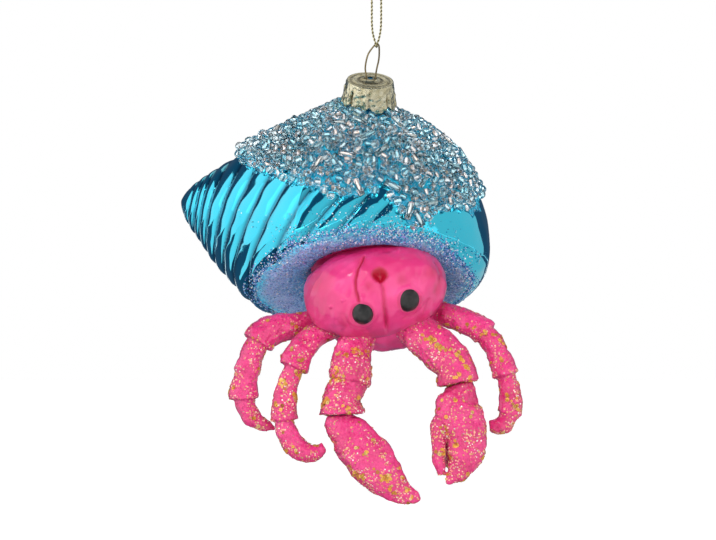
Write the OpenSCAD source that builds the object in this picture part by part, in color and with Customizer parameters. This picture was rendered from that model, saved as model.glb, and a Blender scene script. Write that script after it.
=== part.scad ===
// Hanging glass ornament: a hermit crab of pink clay in a silvered turquoise glass shell.
// Units are millimetres. +X is to the right, +Y goes away from the front, +Z is up.
// The origin is the inside top of the cord loop, where a hook carries the ornament.

/* [Cord and wire] */
// Thickness of the twisted metallic cord
cord_d = 0.55; // [0.5:0.05:0.6]
// Width of the knot that closes the cord loop
knot_w = 2.4; // [2:0.1:3.2]
// Thickness of the spring wire that carries the cap
wire_d = 0.4; // [0.3:0.02:0.44]
// Height of the wire bow above the cap's top
bow_h = 8.1; // [7:0.1:10]
// Width of the wire bow at its widest
bow_w = 3.9; // [3.4:0.1:4.6]
// Distance between the two wire holes in the cap
hole_gap = 2.5; // [2:0.1:3]
// Length of the wire legs inside the neck
leg_len = 9; // [6:0.5:11]

/* [Cap] */
// Radius of the cap's flat top
cap_top_r = 5.65; // [5.5:0.05:6.2]
// Radius of the cap's skirt at its lower edge
cap_skirt_r = 6.6; // [6.4:0.1:7]
// Height of the cap
cap_h = 6.4; // [5.8:0.1:6.6]
// Thickness of the cap's sheet metal
cap_t = 0.28; // [0.2:0.02:0.34]
// How far the middle of the cap's top stands up
cap_dome = 0.6; // [0.3:0.1:0.9]
// Number of pleats in the skirt
pleat_n = 10; // [8:1:14]
// Radius of each pressed pleat
pleat_r = 0.3; // [0.2:0.05:0.45]
// Depth of the notches between the skirt's tabs
notch_h = 1.3; // [0.8:0.1:1.8]
// How far the cap leans to the side
cap_lean = 4; // [0:1:8]
// How far the cap tips towards the front
cap_tip = 22; // [16:1:26]

/* [Neck] */
// Outer radius of the glass neck
neck_r = 4.6; // [4.3:0.1:4.8]
// Inner radius of the glass neck
neck_bore_r = 3.7; // [3.5:0.05:3.8]

/* [Shell] */
// Length of the glass shell along its axis
shell_len = 78; // [72:1:84]
// Largest radius of the glass shell
shell_rad = 31; // [29.5:0.5:31.5]
// Distance from the tip to the widest place
shell_wide_at = 37; // [33:1:42]
// Thickness of the glass
shell_wall = 0.9; // [0.7:0.1:1.4]
// How far the valleys between the ridges go in
ridge_depth = 0.8; // [0.3:0.1:1.2]
// Distance between the first ridges at the tip
ridge_pitch = 3; // [2.6:0.2:4]
// How far along the shell the ridges run
ridge_end = 62; // [50:2:66]
// Slope of the shell's axis, down towards its base
shell_slope = 11.3; // [8:0.1:14]
// Turn of the shell's axis, base towards the front
shell_yaw = 14; // [10:1:18]
// How far the top of the shell's widest part lies under the hook
shell_top = 28.5; // [28.2:0.1:30]
// How far the shell's middle sits to the left
shell_side = 4.6; // [3:0.2:6]
// How far the shell's middle sits behind the hook
shell_back = 8; // [6.5:0.5:9]

/* [Mouth] */
// Distance of the mouth's face from the shell's axis
mouth_dist = 14.2; // [13:0.2:16]
// How far the mouth's face looks down
mouth_tilt = 63.8; // [60:0.2:67]
// Radius of the round well that holds the crab
well_r = 16.2; // [15.6:0.2:17.4]
// Radius of the ball that shaped the well
well_ball_r = 18.5; // [18:0.25:20]
// How far the well sits above the middle of the mouth
well_up = 7.3; // [6.5:0.1:8]
// How far the well sits to the right of the middle of the mouth
well_right = 3.3; // [2.5:0.1:4]
// Thickness of the glitter round the mouth
glitter_t = 0.35; // [0.25:0.05:0.5]
// How far the glitter wraps up the outside of the shell
glitter_wrap = 2.4; // [1:0.2:4]

/* [Bead crust] */
// Thickness of the glitter glue under the beads
bed_t = 0.5; // [0.4:0.05:0.8]
// Outer diameter of a seed bead
seed_d = 2.1; // [1.9:0.05:2.2]
// Length of a seed bead
seed_len = 1.5; // [1.3:0.05:1.6]
// Hole through a seed bead
seed_hole = 0.7; // [0.5:0.05:0.9]
// Distance between neighbouring seed beads
seed_pitch = 2.9; // [2.5:0.05:3.2]
// Outer diameter of a tube bead
bugle_d = 1.7; // [1.5:0.05:1.9]
// Length of a tube bead
bugle_len = 4.2; // [3.6:0.1:4.6]
// Hole through a tube bead
bugle_hole = 0.8; // [0.5:0.05:1]
// Where the crust begins, from the tip
crust_from = 14; // [12:1:17]
// Where the crust ends, from the tip
crust_to = 73.5; // [71:0.5:74]
// How far round the back the crust goes
crust_back = 58; // [45:1:66]

/* [Crab] */
// Width of the head
head_w = 34; // [31:0.5:35]
// Depth of the head
head_depth = 26; // [24:0.5:27]
// Height of the head
head_h = 22; // [20:0.5:23]
// Roll of the head, right side up
head_roll = 10; // [4:1:16]
// Width of the body behind the head
body_w = 31; // [28:0.5:32]
// Depth of the body
body_depth = 25; // [23:0.5:26]
// Height of the body
body_h = 21; // [19:0.5:22]
// Diameter of an eye bead
eye_d = 5.3; // [4.6:0.1:6]
// How far an eye stands out of the head
eye_proud = 1.9; // [1.4:0.1:2.5]
// Thickness of the limbs as a share of their width
limb_flat = 0.84; // [0.7:0.02:1]
// Thickness of the claws as a share of their width
claw_flat = 0.62; // [0.5:0.02:0.8]
// Gap between a cuff and the claw glued into it
claw_gap = 0.3; // [0.2:0.05:0.5]

/* [Hidden] */
$fn = 48;
far = 200;
skin_gap = 0.02;
wire_gap = 0.15;

// Colours
cord_gold = [0.80, 0.66, 0.34];
wire_gold = [0.45, 0.36, 0.20];
cap_gold = [0.85, 0.80, 0.60];
turquoise = [0.10, 0.68, 0.80];
band_violet = [0.42, 0.50, 0.78];
bead_clear = [0.80, 0.86, 0.86];
clay_pink = [0.93, 0.24, 0.55];
eye_black = [0.08, 0.08, 0.09];

// --- Vectors, frames and repeatable scatter ---

function unit(v) = v / norm(v);

function mix(a, b, s) = a + (b - a) * s;

function clamp01(s) = max(0, min(1, s));

// A repeatable number from 0 to 1 for bead j of row i
function scatter(i, j, k) =
    let (v = sin(i * 127.1 + j * 311.7 + k * 74.7) * 4375.85)
    v - floor(v);

// The frame at origin whose third axis is dir and whose first axis is as near to lead as it can be
function frame_at(origin, dir, lead) =
    let (w = unit(dir), v = unit(cross(w, lead)), u = cross(v, w))
    [[u.x, v.x, w.x, origin.x],
     [u.y, v.y, w.y, origin.y],
     [u.z, v.z, w.z, origin.z],
     [0, 0, 0, 1]];

function placed(frame, p) =
    let (q = frame * [p.x, p.y, p.z, 1])
    [q.x, q.y, q.z];

// A smooth curve through points p, as [x, y, z], at share s of the stretch from point i
function curve_at(p, i, s) =
    let (n = len(p) - 1,
         a = p[max(i - 1, 0)], b = p[i], c = p[min(i + 1, n)], d = p[min(i + 2, n)])
    0.5 * (2 * b + (c - a) * s + (2 * a - 5 * b + 4 * c - d) * s * s
           + (3 * b - a - 3 * c + d) * s * s * s);

// --- Closed skins over rings of points ---

module skin(rings) {
    n = len(rings[0]);
    m = len(rings);
    points = concat([for (r = rings) each r], [ring_middle(rings[0]), ring_middle(rings[m - 1])]);
    sides = [for (i = [0 : m - 2], j = [0 : n - 1])
        let (k = (j + 1) % n, a = i * n + j, b = i * n + k, c = a + n, d = b + n)
        each [[a, d, b], [a, c, d]]];
    first = [for (j = [0 : n - 1]) [n * m, j, (j + 1) % n]];
    last = [for (j = [0 : n - 1]) [n * m + 1, (m - 1) * n + (j + 1) % n, (m - 1) * n + j]];
    polyhedron(points = points, faces = concat(sides, first, last), convexity = 6);
}

function sum_from(ring, i) = i == len(ring) ? [0, 0, 0] : ring[i] + sum_from(ring, i + 1);

function ring_middle(ring) = sum_from(ring, 0) / len(ring);

// A ring of n points round p, square to dir, w wide and d deep
function ring_at(p, dir, w, d, n) =
    let (side = unit(cross(dir, [0, 1, 0])), front = cross(dir, side))
    [for (j = [0 : n - 1])
        p + side * (w / 2 * cos(j * 360 / n)) + front * (d / 2 * sin(j * 360 / n))];

// --- Cord ---

bow_top = -13.6;
cord_bend_r = 2 * cord_d;
bend_turn = 76;
cord_low = bow_top - wire_d / 2 - wire_gap - cord_d / 2;

// Half of the loop, from inside the knot down to the bend under the wire
strand = [
    [-0.45, 0, 0.7], [-0.85, 0, -0.4], [-1.1, 0, -1.8], [-1.12, 0, -3.5], [-1.12, 0, -5.2],
    [-1.12, 0, -7], [-1.1, -0.1, -8.6], [-1, -0.3, -10], [-0.8, -0.65, -11.3],
    [-0.5, -0.95, -12.5]
];
bend_steps = 10;
function bend_point(k) =
    let (a = 180 * k / bend_steps)
    [-cord_bend_r * cos(a) * cos(bend_turn), -cord_bend_r * cos(a) * sin(bend_turn),
     cord_low + cord_bend_r * (1 - sin(a))];
cord_route = concat(
    strand,
    [for (k = [0 : bend_steps]) bend_point(k)],
    [for (k = [len(strand) - 1 : -1 : 0]) [-strand[k].x, -strand[k].y, strand[k].z]]
);
cord_steps = 2;
cord_sides = 8;

function swept_dir(p, i, s) =
    unit(curve_at(p, i, min(s + 0.05, 1)) - curve_at(p, i, max(s - 0.05, 0)));

// Rings carried along a route without twist
function carried(route, dirs, i, side) =
    let (s = unit(side - dirs[i] * (side * dirs[i])))
    i == len(route) - 1 ? [s] : concat([s], carried(route, dirs, i + 1, s));

module tube_along(points, d, steps, sides) {
    n = len(points) - 1;
    stations = concat(
        [for (i = [0 : n - 1], k = [0 : steps - 1])
            [curve_at(points, i, k / steps), swept_dir(points, i, k / steps)]],
        [[points[n], swept_dir(points, n - 1, 1)]]);
    route = [for (s = stations) s[0]];
    dirs = [for (s = stations) s[1]];
    side = carried(route, dirs, 0, [0.1, 1, 0.05]);
    skin([for (i = [0 : len(route) - 1])
        let (front = cross(dirs[i], side[i]))
        [for (j = [0 : sides - 1])
            route[i] + d / 2 * (side[i] * cos(j * 360 / sides) + front * sin(j * 360 / sides))]]);
}

module hanging_cord() {
    color(cord_gold) tube_along(cord_route, cord_d, cord_steps, cord_sides);
}

// The knot is a plump lump with turns of cord pulled tight round it
module cord_knot() {
    knot_h = knot_w * 1.05;
    knot_foot = 0.25;
    color(cord_gold) translate([0, 0, knot_foot + knot_h / 2])
        skin([for (i = [1 : 9])
            let (a = i * 18, r = knot_w / 2 * sin(a) * (1 - 0.12 * pow(sin(4 * a), 2)))
            [for (j = [0 : 15])
                [r * cos(j * 22.5), 0.85 * r * sin(j * 22.5), -knot_h / 2 * cos(a)]]]);
}

// --- Cap, with its own frame: the middle of its top, and its axis pointing up out of it ---

cap_axis = [sin(cap_lean) * cos(cap_tip), -sin(cap_tip), cos(cap_lean) * cos(cap_tip)];
bow_mid_x = -1.46;
wire_hole_z = bow_top - bow_h;
cap_middle = [bow_mid_x, 0, wire_hole_z] - cap_axis * cap_dome;
cap_frame = frame_at(cap_middle, cap_axis, [1, 0, 0]);
hole_clear = 0.3;
hole_r = wire_d / 2 + hole_clear;
vent_r = 0.55;
cap_slant = atan((cap_skirt_r - cap_top_r) / cap_h);

module on_cap() {
    multmatrix(cap_frame) children();
}

// The cap's sheet: a pressed top with a ring and a dome, and a flared skirt
module cap_sheet() {
    bead = 0.18;
    top = [[0, cap_dome], [1.7, cap_dome - 0.06], [2.5, cap_dome - 0.35], [3.3, 0.05], [3.8, bead],
           [4.4, 0], [cap_top_r - 0.45, 0.12], [cap_top_r - 0.1, 0], [cap_top_r, -0.3]];
    outer = concat(top, [[cap_skirt_r, -cap_h]]);
    under = concat([for (k = [0 : 6]) [top[k].x, top[k].y - cap_t]],
                   [[cap_top_r - cap_t - 0.05, -cap_t - 0.15], [cap_skirt_r - cap_t, -cap_h]]);
    rotate_extrude() polygon(concat(outer, [for (k = [len(under) - 1 : -1 : 0]) under[k]]));
}

// A pressed fold that runs down the skirt
module pleat() {
    pleat_from = 1.2;
    root = cap_t / 2;
    translate([cap_skirt_r, 0, -cap_h + 0.1])
        rotate([0, -cap_slant, 0])
            linear_extrude((cap_h - pleat_from) / cos(cap_slant))
                polygon([[-root, -pleat_r - root], [pleat_r, 0], [-root, pleat_r + root]]);
}

// The V between two tabs at the skirt's lower edge
module notch() {
    notch_w = 1.6;
    translate([cap_skirt_r - 1.2, 0, -cap_h])
        rotate([90, 0, 90])
            linear_extrude(2.4)
                polygon([[-notch_w, -notch_h], [0, notch_h], [notch_w, -notch_h]]);
}

module ornament_cap() {
    color(cap_gold) on_cap() difference() {
        union() {
            cap_sheet();
            for (k = [0 : pleat_n - 1])
                rotate(k * 360 / pleat_n) pleat();
        }
        for (k = [0 : pleat_n - 1])
            rotate((k + 0.5) * 360 / pleat_n) notch();
        for (side = [-1, 1])
            translate([side * hole_gap / 2, 0, -1]) cylinder(r = hole_r, h = 3);
        translate([0, -0.1, -1]) cylinder(r = vent_r, h = 3);
    }
}

// --- Wire bow, which goes through the cap and down inside the neck ---

leg_clear = 0.65;
leg_spread = neck_bore_r - wire_d - leg_clear;

// A leg of the bow from its end up to the cap, on the left with side -1 or the right with side 1
leg_side = [[leg_spread, -leg_len], [leg_spread - 0.1, -leg_len * 0.75],
            [leg_spread - 0.4, -leg_len * 0.5], [mix(hole_gap / 2, leg_spread, 0.35), -leg_len * 0.26],
            [hole_gap / 2, -0.6]];
function leg_points(side) = [for (q = leg_side) placed(cap_frame, [side * q.x, 0, q.y])];

// A point of the bow above the cap, at height h, out to the side by share x of the bow's width
function bow_point(x, h) =
    [bow_mid_x * (1 - h / bow_h * 0.7) + x * bow_w, 0, wire_hole_z + h];

bow_points = concat(
    leg_points(-1),
    [for (q = [[-0.27, 0.5], [-0.39, 2.2], [-0.39, 4.2], [-0.3, 6]]) bow_point(q.x, q.y)],
    [[-0.55, 0, bow_top - 0.32], [0, 0, bow_top], [0.55, 0, bow_top - 0.18]],
    [for (q = [[0.34, 6.3], [0.37, 4.4], [0.32, 2.4], [0.3, 0.6]]) bow_point(q.x, q.y)],
    [for (k = [len(leg_side) - 1 : -1 : 0]) leg_points(1)[k]]
);

module bail_wire() {
    color(wire_gold) tube_along(bow_points, wire_d, 3, 8);
}

// --- Shell, with its own frame: the tip, its axis towards the base, and its first axis up ---

shell_mid = 45;
shell_axis = [cos(shell_yaw) * cos(shell_slope), -sin(shell_yaw), -cos(shell_yaw) * sin(shell_slope)];
shell_centre = [-shell_side, shell_back, -shell_top - shell_rad];
shell_frame = frame_at(shell_centre - shell_axis * shell_mid, shell_axis, [0, 0, 1]);
ridge_growth = 0.055;
ridge_steps = 5;

// Radius of the smooth shell at distance t from the tip
function shell_r(t) =
    t < shell_wide_at
        ? shell_rad * pow(1 - pow(clamp01((shell_wide_at - t) / shell_wide_at), 0.95), 0.72)
        : shell_rad * pow(1 - pow(clamp01((t - shell_wide_at) / (shell_len - shell_wide_at)), 2.5), 0.64);

// Ridge n starts at this distance from the tip: the ridges widen towards the base
function ridge_at(n) = ridge_pitch * (exp(ridge_growth * n) - 1) / ridge_growth;
function ridge_number(t) = ln(1 + ridge_growth * t / ridge_pitch) / ridge_growth;

function ridge_drop(t) =
    ridge_depth * (1 - abs(sin(180 * ridge_number(t)))) * clamp01(t / 6) * clamp01((ridge_end - t) / 10);

ridge_n = floor(ridge_number(ridge_end));
base_steps = 10;
shell_stations = concat(
    [0.25, 0.9],
    [for (k = [ridge_steps : ridge_n * ridge_steps]) ridge_at(k / ridge_steps)],
    [for (k = [1 : base_steps])
        mix(ridge_at(ridge_n), shell_len, sin(90 * k / base_steps))]
);

// The ridged outline from t0 to t1, grown outwards by off
function shell_outline(t0, t1, off) =
    [for (t = concat([t0], [for (s = shell_stations) if (s > t0 + 0.2 && s < t1 - 0.2) s], [t1]))
        [max(shell_r(t) - ridge_drop(t) + off, 0), t + off * base_push(t)]];

// Near the ends the outline grows along the axis too
function base_push(t) = t < shell_wide_at ? -pow(1 - t / shell_wide_at, 3)
    : pow((t - shell_wide_at) / (shell_len - shell_wide_at), 3);

module in_shell() {
    multmatrix(shell_frame) children();
}

module shell_solid(off) {
    in_shell() rotate_extrude($fn = 96)
        polygon(concat([[0, -off]], shell_outline(0.25, shell_len - 0.05, off), [[0, shell_len + off]]));
}

// The hollow inside: a smooth form, one wall smaller than the ridged one
tip_inset = 2.4;
module shell_hollow() {
    inner_len = shell_len - tip_inset - shell_wall;
    inset = shell_wall + ridge_depth;
    in_shell() rotate_extrude($fn = 96)
        polygon(concat([[0, tip_inset]],
            [for (k = [1 : 23])
                let (t = tip_inset + inner_len * (1 - cos(180 * k / 24)) / 2)
                [max(shell_r(t) - inset * (1 + 0.25 * pow((t - shell_wide_at) / shell_wide_at, 2)), 0.05),
                 t]],
            [[0, shell_len - shell_wall - 0.2]]));
}

// --- Mouth: a flat face across the shell, with a round well in it for the crab ---

mouth_turn = 3.5;
mouth_dir = [sin(mouth_turn) * cos(mouth_tilt), -cos(mouth_turn) * cos(mouth_tilt), -sin(mouth_tilt)];
mouth_frame = frame_at(shell_centre + mouth_dir * mouth_dist, mouth_dir, [0, 0, 1]);
well_middle = placed(mouth_frame, [well_up, -well_right, 0]);
well_ball = well_middle + mouth_dir * sqrt(well_ball_r * well_ball_r - well_r * well_r);

// Everything on the shell's side of the mouth's face, or further out by off
module shell_side_of(off) {
    multmatrix(mouth_frame) translate([-far / 2, -far / 2, off - far]) cube([far, far, far]);
}

module well(grow) {
    translate(well_ball) sphere(r = well_ball_r + grow);
}

neck_top = -cap_t - 0.1;
neck_len = 16;

module neck(r) {
    on_cap() translate([0, 0, neck_top - neck_len]) cylinder(r = r, h = neck_len);
}

module glass_shell() {
    color(turquoise) difference() {
        union() {
            difference() {
                intersection() {
                    shell_solid(0);
                    shell_side_of(0);
                }
                well(0);
            }
            difference() {
                neck(neck_r);
                shell_hollow();
            }
        }
        difference() {
            intersection() {
                shell_hollow();
                shell_side_of(-shell_wall);
            }
            well(shell_wall);
        }
        on_cap() translate([0, 0, neck_top - neck_len + 1]) cylinder(r = neck_bore_r, h = neck_len);
    }
}

module mouth_glitter_band() {
    color(band_violet) difference() {
        intersection() {
            shell_solid(glitter_t);
            shell_side_of(glitter_t);
        }
        shell_side_of(-glitter_wrap);
        intersection() {
            shell_solid(skin_gap);
            shell_side_of(skin_gap);
        }
        multmatrix(mouth_frame) translate([well_up, -well_right, -far / 2])
            cylinder(r = well_r, h = far);
    }
}

// --- Bead crust ---

// How far the crust comes down the front: distances from the tip and angles round the shell
crust_edge = [[14, 32], [18, 48], [22, 56], [30, 65], [37, 71], [45, 73], [51, 68], [56, 63],
              [60, 67], [64.5, 72], [67, 58], [70, 48], [73.5, 34]];
function crust_front(t) = lookup(t, crust_edge);

crust_bands = 14;
keep_off_cap = 0.5;

// Room round the cap that stays free of glue and beads
module cap_room() {
    on_cap() translate([0, 0, -far / 2])
        cylinder(r = cap_skirt_r + pleat_r + keep_off_cap, h = far);
}

module bead_adhesive() {
    step = (crust_to - crust_from) / crust_bands;
    glue_edge = 2;
    color(turquoise) difference() {
        in_shell() for (k = [0 : crust_bands - 1]) {
            t0 = crust_from + k * step;
            t1 = t0 + step;
            rotate(-crust_back)
                rotate_extrude(angle = crust_back + crust_front((t0 + t1) / 2) + glue_edge, $fn = 96)
                    polygon(concat(shell_outline(t0, t1, bed_t),
                        let (under = shell_outline(t0, t1, skin_gap))
                        [for (i = [len(under) - 1 : -1 : 0]) under[i]]));
        }
        cap_room();
    }
}

// A point above the shell at distance t and angle a round it, and the way out of the surface there
function slope_at(t) = shell_r(t + 0.5) - shell_r(t - 0.5);
function out_of(t, a) = unit([cos(a), sin(a), -slope_at(t)]);
function above(t, a, h) =
    placed(shell_frame, [shell_r(t) * cos(a), shell_r(t) * sin(a), t] + h * out_of(t, a));

// Rows of beads, each one pitch further along the slope of the shell
row_gap = seed_pitch * 0.88;
function row_places(t) =
    t > crust_to - 1 ? [] : concat([t], row_places(t + row_gap / sqrt(1 + slope_at(t) * slope_at(t))));
rows = row_places(crust_from + 1.2);

bead_sink = 0.25;
bead_h = bed_t + seed_d / 2 - bead_sink;

function from_cap_axis(p) = let (d = p - cap_middle) norm(d - cap_axis * (d * cap_axis));

// Tube beads: distance from the tip, angle round the shell, and the way each one lies
bugles = [[64.2, 68, 25], [61.4, 66, 160], [65.2, 60, 100], [57, 60, 60], [50, 66, 20],
          [45, 52, 75], [39, 60, 150], [33, 50, 95], [52, 44, 130], [60, 40, 15],
          [44, 30, 50], [27, 38, 115], [36, 20, 10], [66, 20, 70], [58, -25, 140], [40, -35, 60]];

function bugle_clear(p) =
    min([for (b = bugles) norm(p - above(b[0], b[1], bead_h))]);
keep_off_bugle = bugle_len / 2 + seed_d / 2 + 0.2;

module bead(d, l, hole, edge) {
    rotate_extrude($fn = 24)
        polygon([[hole / 2, -l / 2], [d / 2 - edge, -l / 2], [d / 2, -l / 2 + edge],
                 [d / 2, l / 2 - edge], [d / 2 - edge, l / 2], [hole / 2, l / 2]]);
}

module seed_beads() {
    edge = 0.38;
    back_edge = 2;
    color(bead_clear) for (i = [0 : len(rows) - 1]) {
        t = rows[i];
        turn = seed_pitch / (shell_r(t) + bead_h) * 180 / PI;
        n = floor((crust_front(t) + crust_back - back_edge) / turn);
        for (j = [0 : n]) {
            a = -crust_back + back_edge + (j + (i % 2) / 2) * turn;
            p = above(t, a, bead_h);
            if (from_cap_axis(p) > cap_skirt_r + pleat_r + keep_off_cap + seed_d / 2
                && bugle_clear(p) > keep_off_bugle)
                translate(p) rotate([acos(2 * scatter(i, j, 1) - 1), 0, 360 * scatter(i, j, 2)])
                    bead(seed_d, seed_len, seed_hole, edge);
        }
    }
}

module bugle_beads() {
    edge = 0.12;
    color(bead_clear) for (b = bugles) {
        p = above(b[0], b[1], bed_t + bugle_d / 2 - 0.1);
        out = above(b[0], b[1], 2) - above(b[0], b[1], 1);
        lie = placed(frame_at([0, 0, 0], out, [0, 0, 1]), [cos(b[2]), sin(b[2]), 0]);
        multmatrix(frame_at(p, lie, out)) bead(bugle_d, bugle_len, bugle_hole, edge);
    }
}

// --- Crab: every place is taken from the middle of its body, which sits in the well ---

body_middle = well_middle + [1, -0.4, -7.8];
head_from_body = [-0.8, -7.5, 4.1];
head_middle = body_middle + head_from_body;

module mouth_glue() {
    color(clay_pink) intersection() {
        well(-skin_gap);
        shell_side_of(-1.2);
    }
}

// A lump with half sizes s, whose skin is drawn in by the share that dent gives
module lump(s, rings, sides) {
    skin([for (i = [1 : rings - 1])
        let (a = 180 * i / rings)
        [for (j = [0 : sides - 1])
            let (b = 360 * j / sides, q = [sin(a) * cos(b), sin(a) * sin(b), -cos(a)])
            [q.x * s.x, q.y * s.y, q.z * s.z] * (1 - head_dent(q))]]);
}

// Folds of the head: a cleft down the middle, a crease to its left and a pinched brow
function groove(d, w) = exp(-d * d / (w * w));
function head_dent(q) =
    q.y > 0.2 ? 0
    : 0.045 * groove(q.x - 0.04, 0.07) * groove(q.z + 0.05, 0.42)
      + 0.05 * groove(q.x - 0.02, 0.13) * groove(q.z - 0.45, 0.16)
      + 0.03 * groove(q.x + 0.33 + 0.1 * q.z, 0.06) * groove(q.z - 0.25, 0.45);

module crab_head() {
    color(clay_pink) translate(head_middle) rotate([0, -head_roll, 0])
        lump([head_w, head_depth, head_h] / 2, 22, 32);
}

module crab_body() {
    color(clay_pink) translate(body_middle) skin([for (i = [1 : 13])
        let (a = 180 * i / 14)
        [for (j = [0 : 23])
            [body_w / 2 * sin(a) * cos(15 * j), body_depth / 2 * sin(a) * sin(15 * j),
             -body_h / 2 * cos(a)]]]);
}

// An eye sits on the head's skin at x and z from the head's middle
function eye_place(x, z) =
    let (s = [head_w, head_depth, head_h] / 2,
         y = -s.y * sqrt(1 - pow(x / s.x, 2) - pow(z / s.z, 2)),
         out = unit([x / (s.x * s.x), y / (s.y * s.y), z / (s.z * s.z)]))
    [x, y, z] + out * (eye_proud - eye_d / 2);

module eye(x, z) {
    color(eye_black) translate(head_middle) rotate([0, -head_roll, 0])
        translate(eye_place(x, z)) sphere(d = eye_d, $fn = 32);
}

module left_eye() {
    eye(-4.2, -5);
}

module right_eye() {
    eye(7.2, -3.8);
}

// --- Limbs: places along the middle of each, from the body's middle, as [x, y, z, width at the
// start of the joint, width at its end]. Each joint widens to a cuff over the next one.

left_outer = [[-9, -1, -1.4, 5, 6.2], [-17, -2.6, -3.6, 6.2, 7.4], [-25.4, -4.6, -5.2, 7.4, 7.8],
              [-28.9, -5.4, -8.2, 5.2, 6.6], [-31.4, -6.2, -15.2, 5.6, 7.4],
              [-32.1, -6.4, -21.6, 4.8, 4.6], [-30.6, -6.2, -25.6, 4.6, 3.4],
              [-28.2, -6, -27.6, 3.4, 1], [-24.6, -5.8, -28.8, 1, 1]];
left_inner = [[-7.5, -4, -3, 5, 6], [-13.5, -7, -5.6, 6, 6.4], [-17.6, -9, -9, 6.4, 7.4],
              [-20.3, -10.4, -14.2, 4.6, 5.4], [-22, -11.2, -20, 5.4, 6.9],
              [-22.4, -11.6, -26.6, 4.6, 5.6], [-20.6, -11.4, -31.6, 5.6, 4.6],
              [-16.6, -11, -34.6, 4.6, 2.6], [-12.9, -10.6, -33, 1, 1]];
right_outer = [[10, -2, -1, 5, 6], [16.4, -4, -1.8, 6, 6], [21.6, -5.4, -3.6, 6, 6.6],
               [25.4, -6.6, -6, 5, 5.4], [28.4, -7.4, -11, 5.4, 6.6], [30.3, -8, -15.9, 4.2, 5.6],
               [31.3, -8.2, -21, 5.6, 6], [31.2, -8.2, -25, 5, 4.4], [29.3, -8, -28, 4.4, 2.8],
               [26.4, -7.8, -28.2, 1, 1]];
left_upper = [[-3.4, -8, -4, 7, 8.4], [-5.8, -10.5, -9.4, 8.4, 10.2], [-6.8, -11.8, -14, 10.2, 9.8],
              [-6.9, -12, -17.4, 8, 9.4], [-8.8, -12.8, -21.4, 9.4, 11.4], [-8.7, -13, -25.1, 11.4, 11.4]];
right_upper = [[6, -7.5, -3, 8, 9.6], [10.4, -9.4, -6.4, 9.6, 10], [14.4, -11, -10, 10, 9.4],
               [17.9, -12.1, -13.6, 9.4, 10.5], [18.8, -12.4, -17.8, 10.5, 10.5]];
limb_steps = 4;
limb_sides = 14;

function middle_of(p) = [p.x, p.y, p.z];

// The rings of a limb. A joint's first ring is left out where it has its neighbour's width.
function limb_rings(p, flat, sides) =
    let (n = len(p) - 1, mids = [for (q = p) middle_of(q)])
    [for (i = [0 : n - 1], k = [0 : limb_steps])
        let (s = k / limb_steps, w = mix(p[i][3], p[i][4], s * s * (3 - 2 * s)),
             joined = i > 0 && k == 0 && abs(p[i][3] - p[i - 1][4]) < 0.05)
        if (!joined)
            ring_at(curve_at(mids, i, s), swept_dir(mids, i, s), w, w * flat, sides)];

module limb(p, flat) {
    color(clay_pink) translate(body_middle) skin(limb_rings(p, flat, limb_sides));
}

module left_outer_leg() {
    limb(left_outer, limb_flat);
}

module left_inner_leg() {
    limb(left_inner, limb_flat);
}

module right_leg() {
    limb(right_outer, limb_flat);
}

module left_arm() {
    limb(left_upper, limb_flat);
}

module right_arm() {
    limb(right_upper, limb_flat);
}

// --- Claws: each begins a gap below its cuff's end ---

left_wrist = left_upper[len(left_upper) - 1];
right_wrist = right_upper[len(right_upper) - 1];
left_pincer = [[0, 0, 0, 6.8, 8.6], [0.15, -0.15, -2.2, 8.6, 11], [3.4, -1.2, -6.4, 11, 11.8],
               [6.4, -1.8, -10.2, 11.8, 10.4], [9.4, -2.2, -13.8, 10.4, 8], [12, -2.4, -16.4, 8, 5.6],
               [14.6, -2.4, -18.4, 5.6, 3.2], [17, -2.4, -19.4, 3.2, 0.9], [18.6, -2.4, -19.9, 0.9, 0.9]];
right_pincer = [[0, 0, 0, 7, 8.4], [0.45, -0.15, -2.1, 8.4, 11.4], [0, -0.8, -6, 11.4, 10.6],
                [1.5, -1, -10, 10.6, 9.4], [2.2, -1.2, -13.6, 9.4, 8], [1.6, -1.3, -17.4, 8, 5.6],
                [0, -1.3, -20.4, 5.6, 2.6], [-2, -1.3, -22.4, 2.6, 0.9], [-3, -1.3, -22.9, 0.9, 0.9]];
right_thumb = [[-2.4, -0.6, -5.6, 4, 4.4], [-4.2, -0.8, -9.4, 4.4, 3.6], [-4.6, -0.9, -13.4, 3.6, 3.2],
               [-4.5, -0.9, -17.6, 3.2, 2.2], [-4, -0.9, -21.6, 1, 1]];

function claw_start(wrist) = body_middle + middle_of(wrist) - [0, 0, claw_gap];

module left_claw() {
    color(clay_pink) translate(claw_start(left_wrist)) skin(limb_rings(left_pincer, claw_flat, 16));
}

module right_claw() {
    color(clay_pink) translate(claw_start(right_wrist)) {
        skin(limb_rings(right_pincer, claw_flat, 16));
        skin(limb_rings(right_thumb, 0.9, 12));
    }
}

hanging_cord();
cord_knot();
bail_wire();
ornament_cap();
glass_shell();
mouth_glitter_band();
bead_adhesive();
seed_beads();
bugle_beads();
mouth_glue();
crab_body();
crab_head();
left_eye();
right_eye();
left_arm();
left_claw();
right_arm();
right_claw();
left_outer_leg();
left_inner_leg();
right_leg();
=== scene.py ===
"""Dresses the hanging hermit crab ornament: silvered glass, bead crust, clay crab, cap and cord.

Sizes in the classes are millimetres, as a maker would write them. Meshes are made in metres.
Left and right are those of someone who faces the crab.
"""

from __future__ import annotations

import logging
import math
import random
from dataclasses import dataclass, field
from enum import Enum
from typing import Sequence

import bmesh
import bpy
import numpy as np
from mathutils import Matrix, Vector

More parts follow.
